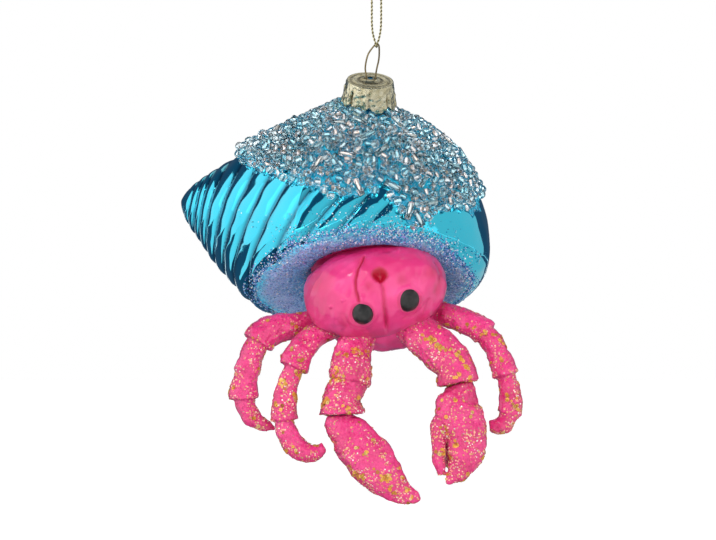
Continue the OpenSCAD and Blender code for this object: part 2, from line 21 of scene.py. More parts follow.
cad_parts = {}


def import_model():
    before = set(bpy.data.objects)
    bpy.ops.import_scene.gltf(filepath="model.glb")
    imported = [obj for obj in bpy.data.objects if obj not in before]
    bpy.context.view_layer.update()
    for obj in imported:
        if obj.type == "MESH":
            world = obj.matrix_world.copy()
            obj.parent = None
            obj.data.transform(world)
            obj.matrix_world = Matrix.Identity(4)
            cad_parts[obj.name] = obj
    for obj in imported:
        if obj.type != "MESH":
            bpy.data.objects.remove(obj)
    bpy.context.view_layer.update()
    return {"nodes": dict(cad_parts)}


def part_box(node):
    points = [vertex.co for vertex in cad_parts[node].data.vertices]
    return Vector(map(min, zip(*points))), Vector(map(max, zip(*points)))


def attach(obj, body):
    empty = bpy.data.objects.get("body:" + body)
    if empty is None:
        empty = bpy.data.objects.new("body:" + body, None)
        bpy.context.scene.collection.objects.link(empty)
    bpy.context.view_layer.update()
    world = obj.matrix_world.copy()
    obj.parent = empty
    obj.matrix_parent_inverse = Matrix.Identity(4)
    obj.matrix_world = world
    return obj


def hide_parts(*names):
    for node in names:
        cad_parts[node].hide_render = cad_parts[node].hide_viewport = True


LOG = logging.getLogger("ornament")
MM = 0.001
TURN = 2.0 * math.pi
Point = tuple[float, float, float]
Colour = tuple[float, float, float]


class Body(Enum):
    """Bodies of the frame that pieces ride on."""

    HANGER = "hanger"
    CAP = "cap"
    ORNAMENT = "ornament"


class Slot(Enum):
    """Material slots of the frame."""

    CORD = "metallic_cord"
    CAP = "gold_cap"
    GLASS = "lacquered_glass"
    BAND = "glitter_band"
    GLUE = "glitter_glue"
    BEAD = "silver_lined_bead"
    CLAY = "pink_clay"
    EYE = "eye_bead"


# --- Small mathematics ---


def unit(vector: np.ndarray) -> np.ndarray:
    """Scale vectors along the last axis to length one."""
    return vector / np.maximum(np.linalg.norm(vector, axis=-1, keepdims=True), 1e-12)


def smoothstep(low: float, high: float, value: np.ndarray) -> np.ndarray:
    """Rise smoothly from 0 at low to 1 at high."""
    share = np.clip((value - low) / (high - low), 0.0, 1.0)
    return share * share * (3.0 - 2.0 * share)


def wobble(points: np.ndarray, length: float, seed: int) -> np.ndarray:
    """Give a smooth random height of about -1 to 1 for each point.

    Args:
        points: Places in millimetres, one in each row.
        length: Usual distance between two swells, in millimetres.
        seed: Choice of the pattern.

    Returns:
        One height for each point.
    """
    rng = np.random.default_rng(seed)
    total = np.zeros(points.shape[:-1])
    waves = 12
    for _ in range(waves):
        way = unit(rng.normal(size=3)) * rng.uniform(0.6, 1.5) * TURN / length
        total += np.sin(points @ way + rng.uniform(0.0, TURN))
    return total / math.sqrt(waves)


def curve_through(knots: Sequence[Point], steps: int) -> np.ndarray:
    """Give points of the smooth curve through the knots, with steps points to each stretch.

    Args:
        knots: Points that the curve passes.
        steps: Points in each stretch.

    Returns:
        Points along the curve.
    """
    k = np.array(knots, dtype=float)
    n = len(k) - 1
    out = []
    for i in range(n):
        a, b, c, d = k[max(i - 1, 0)], k[i], k[i + 1], k[min(i + 2, n)]
        for j in range(steps):
            s = j / steps
            out.append(0.5 * (2 * b + (c - a) * s + (2 * a - 5 * b + 4 * c - d) * s * s
                              + (3 * b - a - 3 * c + d) * s ** 3))
    out.append(k[-1])
    return np.array(out)


def runs_along(path: np.ndarray) -> np.ndarray:
    """Give how far along the path each of its points lies."""
    return np.concatenate([[0.0], np.cumsum(np.linalg.norm(np.diff(path, axis=0), axis=1))])


def evenly(path: np.ndarray, spacing: float) -> np.ndarray:
    """Give the same path with points an even spacing apart.

    Args:
        path: Points along a line.
        spacing: Distance wanted between points.

    Returns:
        Points along the same line.
    """
    runs = runs_along(path)
    n = max(int(round(runs[-1] / spacing)), 2)
    wanted = np.linspace(0.0, runs[-1], n + 1)
    return np.stack([np.interp(wanted, runs, path[:, axis]) for axis in range(3)], axis=1)


def distance_to_line(points: np.ndarray, line: Sequence[tuple[float, float]]) -> np.ndarray:
    """Give the distance of flat points from a line of straight stretches.

    Args:
        points: Flat places, one in each row.
        line: Corners of the line.

    Returns:
        One distance for each point.
    """
    best = np.full(points.shape[0], 1e9)
    for start, end in zip(line[:-1], line[1:]):
        a, ab = np.array(start), np.array(end) - np.array(start)
        share = np.clip(((points - a) @ ab) / max(float(ab @ ab), 1e-9), 0.0, 1.0)
        best = np.minimum(best, np.linalg.norm(points - a - share[:, None] * ab, axis=1))
    return best


@dataclass(frozen=True)
class Axes:
    """A place with three square directions, in millimetres."""

    origin: np.ndarray
    u: np.ndarray
    v: np.ndarray
    w: np.ndarray

    @staticmethod
    def at(origin: Sequence[float], way: Sequence[float], lead: Sequence[float]) -> "Axes":
        """Make axes whose third runs along way and whose first is as near to lead as it can be.

        Args:
            origin: The place.
            way: The third direction.
            lead: A hint for the first.

        Returns:
            The axes.
        """
        w = unit(np.array(way, dtype=float))
        v = unit(np.cross(w, np.array(lead, dtype=float)))
        return Axes(np.array(origin, dtype=float), np.cross(v, w), v, w)

    def place(self, local: np.ndarray) -> np.ndarray:
        """Bring local points into the ornament's frame."""
        return (self.origin + local[..., 0:1] * self.u + local[..., 1:2] * self.v
                + local[..., 2:3] * self.w)

    def local(self, points: np.ndarray) -> np.ndarray:
        """Bring points of the ornament's frame into these axes."""
        d = points - self.origin
        return np.stack([d @ self.u, d @ self.v, d @ self.w], axis=-1)


# --- Meshes ---


def turn_outwards(mesh: bpy.types.Mesh) -> None:
    """Turn every face of a closed mesh over if they look inwards.

    Args:
        mesh: The mesh, which an open sheet leaves as it is.
    """
    form = bmesh.new()
    form.from_mesh(mesh)
    closed = all(edge.is_manifold for edge in form.edges)
    if closed and form.calc_volume(signed=True) < 0.0:
        bmesh.ops.reverse_faces(form, faces=form.faces)
        form.to_mesh(mesh)
    form.free()


def make_piece(name: str, points: np.ndarray, faces: Sequence[Sequence[int]],
               smooth: bool = True) -> bpy.types.Object:
    """Make a mesh piece from points in millimetres.

    Args:
        name: Name of the piece.
        points: Places, one in each row.
        faces: Corner numbers of each face.
        smooth: Whether the faces shade smoothly.

    Returns:
        The new object, linked into the scene.
    """
    mesh = bpy.data.meshes.new(name)
    corners = [tuple(int(i) for i in face) for face in faces]
    mesh.from_pydata((np.asarray(points) * MM).tolist(), [], corners)
    mesh.validate()
    mesh.update()
    turn_outwards(mesh)
    mesh.polygons.foreach_set("use_smooth", [smooth] * len(mesh.polygons))
    piece = bpy.data.objects.new(name, mesh)
    bpy.context.scene.collection.objects.link(piece)
    return piece


def mark(piece: bpy.types.Object, name: str, values: np.ndarray) -> None:
    """Store one number for each vertex of the piece."""
    layer = piece.data.attributes.new(name, "FLOAT", "POINT")
    layer.data.foreach_set("value", np.asarray(values, dtype=np.float32))


def points_of(mesh: bpy.types.Mesh) -> np.ndarray:
    """Give a mesh's vertices in millimetres."""
    flat = np.empty(len(mesh.vertices) * 3)
    mesh.vertices.foreach_get("co", flat)
    return flat.reshape(-1, 3) / MM


def normals_of(mesh: bpy.types.Mesh) -> np.ndarray:
    """Give a mesh's vertex normals."""
    flat = np.empty(len(mesh.vertices) * 3, dtype=np.float32)
    mesh.vertex_normals.foreach_get("vector", flat)
    return flat.reshape(-1, 3).astype(float)


def move_points(mesh: bpy.types.Mesh, points: np.ndarray) -> None:
    """Put a mesh's vertices at new places in millimetres."""
    mesh.vertices.foreach_set("co", (points * MM).ravel())
    mesh.update()


def apply_modifiers(piece: bpy.types.Object) -> None:
    """Make the modifiers' result the piece's own mesh.

    Args:
        piece: The piece.
    """
    bpy.context.view_layer.update()
    graph = bpy.context.evaluated_depsgraph_get()
    result = bpy.data.meshes.new_from_object(
        piece.evaluated_get(graph), preserve_all_data_layers=True, depsgraph=graph)
    piece.modifiers.clear()
    piece.data = result
    result.polygons.foreach_set("use_smooth", [True] * len(result.polygons))


def grid_faces(rows: int, columns: int, closed: bool) -> np.ndarray:
    """Give the four-cornered faces of a grid of rows by columns points.

    Args:
        rows: Rings of points.
        columns: Points in each ring.
        closed: Whether each ring closes on itself.

    Returns:
        Corner numbers of each face.
    """
    across = np.arange(columns if closed else columns - 1)
    i, j = np.meshgrid(np.arange(rows - 1), across, indexing="ij")
    k = (j + 1) % columns
    a, b = i * columns + j, i * columns + k
    return np.stack([a, a + columns, b + columns, b], axis=-1).reshape(-1, 4)


def closing_faces(rows: int, columns: int) -> list[list[int]]:
    """Give the faces that join the last ring of a closed grid to its first.

    Args:
        rows: Rings of points.
        columns: Points in each ring.

    Returns:
        Corner numbers of each face.
    """
    i = np.arange(columns)
    k = (i + 1) % columns
    last = (rows - 1) * columns
    return np.stack([last + i, i, k, last + k], axis=-1).tolist()


def turned(profile: Sequence[tuple[float, float]], sides: int) -> np.ndarray:
    """Turn a profile of (radius, height) into rings of points round the third axis."""
    angle = np.arange(sides) * TURN / sides
    return np.array([[(r * math.cos(a), r * math.sin(a), h) for a in angle] for r, h in profile])


def ball(rows: int, columns: int, cut: float) -> np.ndarray:
    """Give rings of points on a ball of radius one.

    Args:
        rows: Number of rings, from the bottom to the top.
        columns: Points in each ring.
        cut: Angle of the small flat left at the bottom and the top.

    Returns:
        Points by ring, place in the ring and axis.
    """
    up = np.linspace(cut, math.pi - cut, rows)
    turn = np.arange(columns) * TURN / columns
    a, b = np.meshgrid(up, turn, indexing="ij")
    return np.stack([np.sin(a) * np.cos(b), np.sin(a) * np.sin(b), -np.cos(a)], axis=-1)


def loft(rings: np.ndarray, ends: bool) -> tuple[np.ndarray, list[Sequence[int]]]:
    """Join rings of points into a skin.

    Args:
        rings: Points by ring, place in the ring and axis.
        ends: Whether the first and last ring are closed with a face.

    Returns:
        Points and faces.
    """
    m, n = rings.shape[:2]
    faces: list[Sequence[int]] = grid_faces(m, n, True).tolist()
    if ends:
        faces.append(list(range(n)))
        faces.append(list(range((m - 1) * n, m * n))[::-1])
    return rings.reshape(-1, 3), faces


def tube(path: np.ndarray, sides: int, section: "Section") -> tuple[np.ndarray, list[Sequence[int]]]:
    """Carry a section along a path without twist.

    Args:
        path: Points along the middle.
        sides: Corners in the section.
        section: Section of the cord or wire.

    Returns:
        Points and faces.
    """
    ways = unit(np.gradient(path, axis=0))
    side = unit(np.cross(ways[0], np.array([0.31, 0.87, 0.22])))
    angle = np.arange(sides) * TURN / sides
    rings = []
    for p, way, run in zip(path, ways, runs_along(path)):
        side = unit(side - way * float(side @ way))
        front = np.cross(way, side)
        round_it = np.cos(angle)[:, None] * side + np.sin(angle)[:, None] * front
        rings.append(p + section.radius(run, angle)[:, None] * round_it)
    return loft(np.array(rings), True)


@dataclass(frozen=True)
class Section:
    """Section of a cord or wire: plain round, or two plies twisted round each other."""

    outer: float
    inner: float
    pitch: float = 1.0

    def radius(self, run: float, angle: np.ndarray) -> np.ndarray:
        """Give the radius at each angle of the section at this run along the path."""
        swing = 0.5 + 0.5 * np.cos(2.0 * (angle - TURN * run / self.pitch))
        return self.inner + (self.outer - self.inner) * swing


class Swarm:
    """Many copies of one small turned form, joined into one piece."""

    def __init__(self, profile: Sequence[tuple[float, float]], sides: int, closed: bool) -> None:
        """Turn a profile of (radius, height) into the form.

        Args:
            profile: Corners of the section.
            sides: Steps round the axis.
            closed: Whether the section is a ring of its own, as in a bead with a hole.
        """
        self.base, self.faces = loft(turned(profile, sides), not closed)
        if closed:
            self.faces += closing_faces(len(profile), sides)
        self.points: list[np.ndarray] = []
        self.tints: list[float] = []

    def add(self, place: np.ndarray, way: np.ndarray, tint: float, size: float | Point = 1.0) -> None:
        """Put one more copy at a place.

        Args:
            place: Where the copy's middle goes.
            way: The direction of its axis.
            tint: The copy's own number from 0 to 1, which its material reads.
            size: The copy's size, or its size in each of its three directions.
        """
        lead = np.array([0.0, 0.0, 1.0]) if abs(way[2]) < 0.9 else np.array([1.0, 0.0, 0.0])
        axes = Axes.at(place, way, lead)
        self.points.append(axes.place(self.base * np.array(size)))
        self.tints.append(tint)

    def piece(self, name: str, smooth: bool = True) -> bpy.types.Object:
        """Join all copies into one piece, each with its own tint number.

        Args:
            name: Name of the piece.
            smooth: Whether the faces shade smoothly.

        Returns:
            The piece.
        """
        n = len(self.base)
        faces = [[i + k * n for i in f] for k in range(len(self.points)) for f in self.faces]
        made = make_piece(name, np.concatenate(self.points), faces, smooth)
        mark(made, "tint", np.repeat(np.array(self.tints), n))
        return made


# --- Materials ---


class Graph:
    """A node tree with short ways to add and join nodes."""

    def __init__(self, tree: bpy.types.NodeTree) -> None:
        """Work on this tree."""
        self.tree = tree

    def add(self, kind: str, **settings: object) -> bpy.types.Node:
        """Add a node and set its own settings."""
        node = self.tree.nodes.new("ShaderNode" + kind)
        for key, value in settings.items():
            setattr(node, key, value)
        return node

    def join(self, source: bpy.types.NodeSocket, target: bpy.types.NodeSocket) -> None:
        """Link two sockets."""
        self.tree.links.new(source, target)

    def feed(self, target: bpy.types.NodeSocket, value: object) -> None:
        """Link a socket to the target, or set the target's plain value.

        Args:
            target: The socket that is fed.
            value: A socket, a number, a vector or a colour.
        """
        if isinstance(value, bpy.types.NodeSocket):
            self.join(value, target)
        elif isinstance(value, tuple) and len(value) == 3 and target.type == "RGBA":
            target.default_value = (*value, 1.0)
        else:
            target.default_value = value

    def fed(self, kind: str, values: dict[int | str, object], output: int = 0,
            **settings: object) -> bpy.types.NodeSocket:
        """Add a node with values or links on its inputs.

        Args:
            kind: The node's kind.
            values: What goes on each input, by the input's number or name.
            output: Number of the output that is wanted.
            **settings: The node's own settings.

        Returns:
            The output.
        """
        node = self.add(kind, **settings)
        for key, value in values.items():
            self.feed(node.inputs[key], value)
        return node.outputs[output]

    def math(self, operation: str, a: object, b: object = 0.0,
             clamp: bool = False) -> bpy.types.NodeSocket:
        """Add a Math node."""
        return self.fed("Math", {0: a, 1: b}, operation=operation, use_clamp=clamp)

    def vector(self, operation: str, a: object, b: object = (0.0, 0.0, 0.0)) -> bpy.types.NodeSocket:
        """Add a Vector Math node that gives a vector."""
        return self.fed("VectorMath", {0: a, 1: b}, operation=operation)

    def scaled(self, a: object, share: object) -> bpy.types.NodeSocket:
        """Multiply a vector by one number."""
        return self.fed("VectorMath", {0: a, "Scale": share}, operation="SCALE")

    def blend(self, share: object, a: object, b: object) -> bpy.types.NodeSocket:
        """Mix two colours."""
        return self.fed("Mix", {0: share, 6: a, 7: b}, 2, data_type="RGBA")

    def between(self, share: object, a: float, b: float) -> bpy.types.NodeSocket:
        """Mix two numbers."""
        return self.fed("Mix", {0: share, 2: a, 3: b}, data_type="FLOAT")

    def ramp(self, share: object, stops: Sequence[tuple[float, Colour]]) -> bpy.types.NodeSocket:
        """Add a colour ramp.

        Args:
            share: Where on the ramp, from 0 to 1.
            stops: Places on the ramp and their colours.

        Returns:
            The colour's socket.
        """
        node = self.add("ValToRGB")
        bar = node.color_ramp
        while len(bar.elements) < len(stops):
            bar.elements.new(1.0)
        for element, (place, colour) in zip(bar.elements, stops):
            element.position = place
            element.color = (*colour, 1.0)
        self.feed(node.inputs[0], share)
        return node.outputs[0]

    def noise(self, scale_mm: float, detail: float = 3.0, offset: float = 0.0) -> bpy.types.NodeSocket:
        """Add noise whose swells are about scale_mm across, from 0 to 1.

        Args:
            scale_mm: Usual width of a swell.
            detail: Number of finer layers.
            offset: Shift of the place, which gives another pattern.

        Returns:
            The noise's socket.
        """
        place = self.add("TexCoord").outputs["Object"]
        node = self.add("TexNoise")
        node.inputs["Scale"].default_value = 1.0 / (scale_mm * MM)
        node.inputs["Detail"].default_value = detail
        self.join(self.vector("ADD", place, (offset, offset, offset)), node.inputs["Vector"])
        return node.outputs[0]

    def attribute(self, name: str) -> bpy.types.NodeSocket:
        """Read the number that the mesh stores for each vertex."""
        return self.add("Attribute", attribute_name=name).outputs["Fac"]

    def seen_by_eye(self) -> bpy.types.NodeSocket:
        """Give 1 for rays that reach the camera straight, by a mirror or through glass."""
        path = self.add("LightPath")
        seen = self.math("MAXIMUM", path.outputs["Is Camera Ray"], path.outputs["Is Glossy Ray"])
        return self.math("MAXIMUM", seen, path.outputs["Is Transmission Ray"])

    def bump(self, height: object, distance_mm: float, strength: float = 1.0,
             normal: bpy.types.NodeSocket | None = None) -> bpy.types.NodeSocket:
        """Turn a height into a normal.

        Args:
            height: The height.
            distance_mm: Height of its highest place.
            strength: Share of the effect.
            normal: Normal to start from.

        Returns:
            The normal's socket.
        """
        node = self.add("Bump")
        node.inputs["Strength"].default_value = strength
        node.inputs["Distance"].default_value = distance_mm * MM
        self.feed(node.inputs["Height"], height)
        if normal is not None:
            self.join(normal, node.inputs["Normal"])
        return node.outputs[0]


class GlitterGroup:
    """The shared effect of small flakes that lie at random tilts in a clear coat."""

    NAME = "glitter_flakes"

    @classmethod
    def tree(cls) -> bpy.types.NodeTree:
        """Give the node group, and build it the first time."""
        found = bpy.data.node_groups.get(cls.NAME)
        if found:
            return found
        tree = bpy.data.node_groups.new(cls.NAME, "ShaderNodeTree")
        for name, value in (("Flake Size", 0.3), ("Amount", 0.5), ("Tilt", 0.6), ("Place", 0.0)):
            made = tree.interface.new_socket(name, in_out="INPUT", socket_type="NodeSocketFloat")
            made.default_value = value
        tree.interface.new_socket("Mask", in_out="OUTPUT", socket_type="NodeSocketFloat")
        tree.interface.new_socket("Chance", in_out="OUTPUT", socket_type="NodeSocketFloat")
        tree.interface.new_socket("Normal", in_out="OUTPUT", socket_type="NodeSocketVector")
        g = Graph(tree)
        given = tree.nodes.new("NodeGroupInput")
        result = tree.nodes.new("NodeGroupOutput")
        place = g.add("TexCoord").outputs["Object"]
        cells = g.add("TexVoronoi", voronoi_dimensions="3D", feature="F1")
        cells.inputs["Scale"].default_value = 1.0
        per_mm = g.math("DIVIDE", 1.0 / MM, given.outputs["Flake Size"])
        offset = g.add("CombineXYZ")
        g.join(given.outputs["Place"], offset.inputs[0])
        g.join(g.vector("ADD", g.scaled(place, per_mm), offset.outputs[0]), cells.inputs["Vector"])
        parts = g.add("SeparateColor")
        g.join(cells.outputs["Color"], parts.inputs[0])
        chosen = g.math("LESS_THAN", parts.outputs[0], given.outputs["Amount"])
        near = g.math("LESS_THAN", cells.outputs["Distance"], 0.5)
        g.join(g.math("MULTIPLY", chosen, near), result.inputs["Mask"])
        g.join(parts.outputs[1], result.inputs["Chance"])
        centred = g.vector("SUBTRACT", cells.outputs["Color"], (0.5, 0.5, 0.5))
        lean = g.scaled(centred, given.outputs["Tilt"])
        turned = g.vector("NORMALIZE", g.vector("ADD", g.add("NewGeometry").outputs["Normal"], lean))
        g.join(turned, result.inputs["Normal"])
        return tree

    @classmethod
    def place(cls, g: Graph, size: float, amount: object, tilt: float, place: float) -> bpy.types.Node:
        """Put the group into a material with its own values.

        Args:
            g: The material's nodes.
            size: Flake size in millimetres.
            amount: Share of places with a flake.
            tilt: How far flakes lean.
            place: Shift, which gives another pattern.

        Returns:
            The group's node.
        """
        node = g.add("Group", node_tree=cls.tree())
        node.inputs["Flake Size"].default_value = size
        g.feed(node.inputs["Amount"], amount)
        node.inputs["Tilt"].default_value = tilt
        node.inputs["Place"].default_value = place
        return node


@dataclass(frozen=True)
class Coat:
    """Plain values of a surface that are the same all over it."""

    metallic: float = 0.0
    roughness: float = 0.4
    ior: float = 1.5
    transmission: float = 0.0
    coat: float = 0.0
    coat_roughness: float = 0.05
    subsurface: float = 0.0


class Finish:
    """A material under construction: its nodes and its Principled shader."""

    def __init__(self, name: str, coat: Coat) -> None:
        """Start the material with the plain values set on the shader's own sockets.

        Args:
            name: Name of the material.
            coat: Its plain values.
        """
        self.material = bpy.data.materials.new(name)
        self.material.use_nodes = True
        self.g = Graph(self.material.node_tree)
        self.shader = self.material.node_tree.nodes["Principled BSDF"]
        self.set("Metallic", coat.metallic)
        self.set("Roughness", coat.roughness)
        self.set("IOR", coat.ior)
        self.set("Transmission Weight", coat.transmission)
        self.set("Coat Weight", coat.coat)
        self.set("Coat Roughness", coat.coat_roughness)
        if coat.subsurface:
            self.set("Subsurface Weight", coat.subsurface)
            self.shader.inputs["Subsurface Radius"].default_value = (1.0, 0.25, 0.35)
            self.shader.inputs["Subsurface Scale"].default_value = 1.2 * MM

    def set(self, socket: str, value: object) -> None:
        """Set or link one of the shader's sockets."""
        self.g.feed(self.shader.inputs[socket], value)

    def wear(self, piece: bpy.types.Object) -> None:
        """Give this finish to a piece as its only material."""
        piece.data.materials.clear()
        piece.data.materials.append(self.material)
        for slot in piece.material_slots:
            slot.material = self.material


def lacquered_glass() -> Finish:
    """Make silvered glass under turquoise lacquer, with painted shade in its valleys and under the cap."""
    f = Finish("lacquered_glass", Coat(metallic=1.0, roughness=0.07, coat=0.6, coat_roughness=0.02))
    g = f.g
    valley_neck_shade = g.attribute("valley_neck_shade")
    cloud = g.noise(9.0, 2.0)
    bright = g.blend(cloud, (0.035, 0.63, 0.86), (0.055, 0.73, 0.94))
    # Painted shade: the base colour darkens to deep blue in the ridge valleys and on the neck under the
    # cap.
    f.set("Base Color", g.blend(valley_neck_shade, bright, (0.012, 0.12, 0.22)))
    f.set("Roughness", g.between(g.noise(3.0, 4.0, 0.3), 0.04, 0.12))
    fine = g.bump(g.noise(1.6, 3.0, 0.1), 0.02, 0.35)
    f.set("Normal", fine)
    return f


def band_glitter() -> Finish:
    """Make the dense violet and blue glitter of the mouth's band, with painted light and shade across it.
    """
    f = Finish("band_glitter", Coat(roughness=0.35, coat=0.5, coat_roughness=0.12))
    g = f.g
    rim = g.attribute("rim")
    patch = g.noise(4.5, 3.0, 0.2)
    shade = g.math("ADD", g.math("MULTIPLY", rim, 0.75), g.math("MULTIPLY", patch, 0.5), True)
    under = g.ramp(shade, [
        (0.0, (0.02, 0.17, 0.42)), (0.35, (0.06, 0.28, 0.55)), (0.6, (0.19, 0.33, 0.62)),
        (0.78, (0.29, 0.39, 0.68)), (0.97, (0.06, 0.52, 0.75))])
    small = GlitterGroup.place(g, 0.42, 0.85, 0.9, 3.0)
    flake = g.ramp(small.outputs["Chance"], [
        (0.0, (0.02, 0.22, 0.48)), (0.3, (0.06, 0.16, 0.50)), (0.5, (0.24, 0.22, 0.62)),
        (0.68, (0.66, 0.58, 0.84)), (0.84, (0.20, 0.66, 0.86)), (1.0, (0.98, 0.94, 1.0))])
    mixed = g.blend(g.math("MULTIPLY", small.outputs["Mask"], 0.6), under, flake)
    # Painted light and shade: the gloom mark brightens the band at the left of the mouth and darkens it
    # over the top and to the right.
    f.set("Base Color", g.scaled(mixed, g.between(g.attribute("gloom"), 1.1, 0.62)))
    f.set("Metallic", g.math("MULTIPLY", small.outputs["Mask"], 0.55))
    f.set("Roughness", g.between(small.outputs["Mask"], 0.5, 0.28))
    f.set("Normal", g.bump(g.noise(0.5, 4.0), 0.12, 0.7, small.outputs["Normal"]))
    return f


def glue_glitter() -> Finish:
    """Make the deep turquoise glitter glue under the beads."""
    f = Finish("glue_glitter", Coat(roughness=0.3, coat=0.25, coat_roughness=0.1))
    g = f.g
    depth = g.noise(3.2, 3.0)
    under = g.ramp(depth, [
        (0.25, (0.0, 0.20, 0.39)), (0.5, (0.0, 0.36, 0.57)), (0.8, (0.01, 0.54, 0.74))])
    flakes = GlitterGroup.place(g, 0.32, 0.4, 0.8, 7.0)
    tone = g.ramp(flakes.outputs["Chance"], [
        (0.0, (0.02, 0.35, 0.60)), (0.5, (0.12, 0.60, 0.80)), (0.8, (0.60, 0.85, 0.95)),
        (1.0, (0.55, 0.50, 0.75))])
    f.set("Base Color", g.blend(flakes.outputs["Mask"], under, tone))
    f.set("Metallic", g.math("MULTIPLY", flakes.outputs["Mask"], 0.7))
    f.set("Roughness", g.between(flakes.outputs["Mask"], 0.25, 0.2))
    f.set("Normal", g.bump(g.noise(0.9, 3.0), 0.15, 0.6, flakes.outputs["Normal"]))
    return f


def bead_glass() -> Finish:
    """Make the clear glass of the beads."""
    f = Finish("bead_glass", Coat(roughness=0.13, ior=1.5, transmission=1.0))
    g = f.g
    tint = g.ramp(g.attribute("tint"), [
        (0.0, (0.47, 0.76, 0.83)), (0.6, (0.69, 0.83, 0.87)), (1.0, (0.87, 0.83, 0.85))])
    f.set("Base Color", tint)
    return f


def bead_lining() -> Finish:
    """Make the silver lining of the holes, from white to pinkish and straw."""
    f = Finish("bead_lining", Coat(metallic=1.0, roughness=0.22))
    g = f.g
    tint = g.ramp(g.attribute("tint"), [
        (0.0, (0.50, 0.56, 0.59)), (0.45, (0.76, 0.77, 0.77)), (0.7, (0.82, 0.70, 0.68)),
        (1.0, (0.76, 0.69, 0.58))])
    f.set("Base Color", tint)
    f.set("Roughness", g.between(g.noise(0.4, 2.0), 0.25, 0.5))
    return f


def clay(name: str, tones: Sequence[Colour], glitter: float) -> Finish:
    """Make varnished pink clay, with painted shade where the head's deep mark lies.

    Args:
        name: Name of the material.
        tones: Deep, middle and light pink.
        glitter: Share of the surface with fine flakes under the varnish.

    Returns:
        The finish.
    """
    f = Finish(name, Coat(roughness=0.36, coat=0.8, coat_roughness=0.06, subsurface=0.12))
    g = f.g
    cloud = g.noise(7.0, 4.0, 0.05)
    pink = g.ramp(cloud, list(zip((0.3, 0.55, 0.8), tones)))
    # Painted shade: the deep mark darkens the pink to deep red and takes off the coat.
    deep = g.blend(g.attribute("deep"), pink, (0.36, 0.0, 0.02))
    f.set("Coat Weight", g.between(g.attribute("deep"), 0.8, 0.0))
    f.set("Normal", g.bump(g.noise(2.2, 3.0), 0.08, 0.5))
    if not glitter:
        f.set("Base Color", deep)
        return f
    patch = g.math("MULTIPLY", g.math("SUBTRACT", g.noise(5.0, 2.0, 0.4), 0.25, True), 2.0 * glitter)
    flakes = GlitterGroup.place(g, 0.36, patch, 0.7, 11.0)
    tone = g.ramp(flakes.outputs["Chance"], [
        (0.0, (0.90, 0.20, 0.30)), (0.3, (0.85, 0.42, 0.25)), (0.55, (0.76, 0.40, 0.10)),
        (0.75, (0.85, 0.60, 0.28)), (0.9, (0.45, 0.50, 0.22)), (1.0, (1.0, 0.90, 0.85))])
    f.set("Base Color", g.blend(flakes.outputs["Mask"], deep, tone))
    f.set("Metallic", g.math("MULTIPLY", flakes.outputs["Mask"], 0.6))
    f.set("Roughness", g.between(flakes.outputs["Mask"], 0.38, 0.25))
    f.set("Normal", g.bump(g.noise(2.2, 3.0), 0.08, 0.5, flakes.outputs["Normal"]))
    return f


def loose_flakes(name: str, coat: Coat, tones: Sequence[tuple[float, Colour]],
                 rough: tuple[float, float]) -> Finish:
    """Make flakes that each take their own tone.

    Args:
        name: Name of the material.
        coat: Plain values of the surface.
        tones: Colours by the flake's tint number.
        rough: Lowest and highest roughness.

    Returns:
        The finish.
    """
    f = Finish(name, coat)
    f.set("Base Color", f.g.ramp(f.g.attribute("tint"), tones))
    f.set("Roughness", f.g.between(f.g.noise(0.8, 2.0), *rough))
    return f


def gold_flakes() -> Finish:
    """Make the gold foil of the larger flakes."""
    coat = Coat(metallic=0.55, roughness=0.35, coat=0.3, coat_roughness=0.1)
    return loose_flakes("gold_flakes", coat, [
        (0.0, (0.40, 0.15, 0.02)), (0.35, (0.74, 0.32, 0.04)), (0.7, (0.88, 0.48, 0.09)),
        (0.9, (0.50, 0.36, 0.08)), (1.0, (0.95, 0.68, 0.30))], (0.28, 0.45))


def pearl_flakes() -> Finish:
    """Make the fine pearly glitter of the limbs."""
    coat = Coat(metallic=0.4, roughness=0.3, coat=0.4, coat_roughness=0.08)
    return loose_flakes("pearl_flakes", coat, [
        (0.0, (0.80, 0.14, 0.20)), (0.3, (0.86, 0.30, 0.24)), (0.5, (0.95, 0.60, 0.50)),
        (0.68, (0.76, 0.46, 0.13)), (0.88, (0.62, 0.30, 0.12)), (1.0, (1.0, 0.96, 0.92))], (0.2, 0.4))


def crack_resin() -> Finish:
    """Make the dark glue that shows in the crack over each claw."""
    f = Finish("crack_resin", Coat(roughness=0.3, coat=0.5, coat_roughness=0.1))
    g = f.g
    f.set("Base Color", g.ramp(g.noise(0.9, 3.0), [
        (0.35, (0.03, 0.012, 0.008)), (0.7, (0.22, 0.03, 0.05))]))
    f.set("Normal", g.bump(g.noise(0.6, 3.0), 0.1, 0.6))
    return f


def dust_flakes() -> Finish:
    """Make the fine silver glitter that is loose on the glass."""
    return loose_flakes("dust_flakes", Coat(metallic=0.9, roughness=0.25), [
        (0.0, (0.02, 0.38, 0.58)), (0.35, (0.12, 0.65, 0.82)), (0.65, (0.55, 0.85, 0.93)),
        (0.85, (1.0, 1.0, 1.0)), (1.0, (0.55, 0.50, 0.82))], (0.15, 0.35))


def sparkle_flakes() -> Finish:
    """Make the blue, violet and pearl flakes of the mouth's band."""
    coat = Coat(metallic=0.45, roughness=0.25, coat=0.5, coat_roughness=0.08)
    return loose_flakes("sparkle_flakes", coat, [
        (0.0, (0.02, 0.18, 0.45)), (0.3, (0.10, 0.40, 0.72)), (0.5, (0.24, 0.20, 0.62)),
        (0.64, (0.55, 0.45, 0.80)), (0.76, (0.30, 0.72, 0.92)), (0.84, (1.0, 1.0, 1.0)),
        (1.0, (1.0, 0.94, 1.0))], (0.15, 0.35))


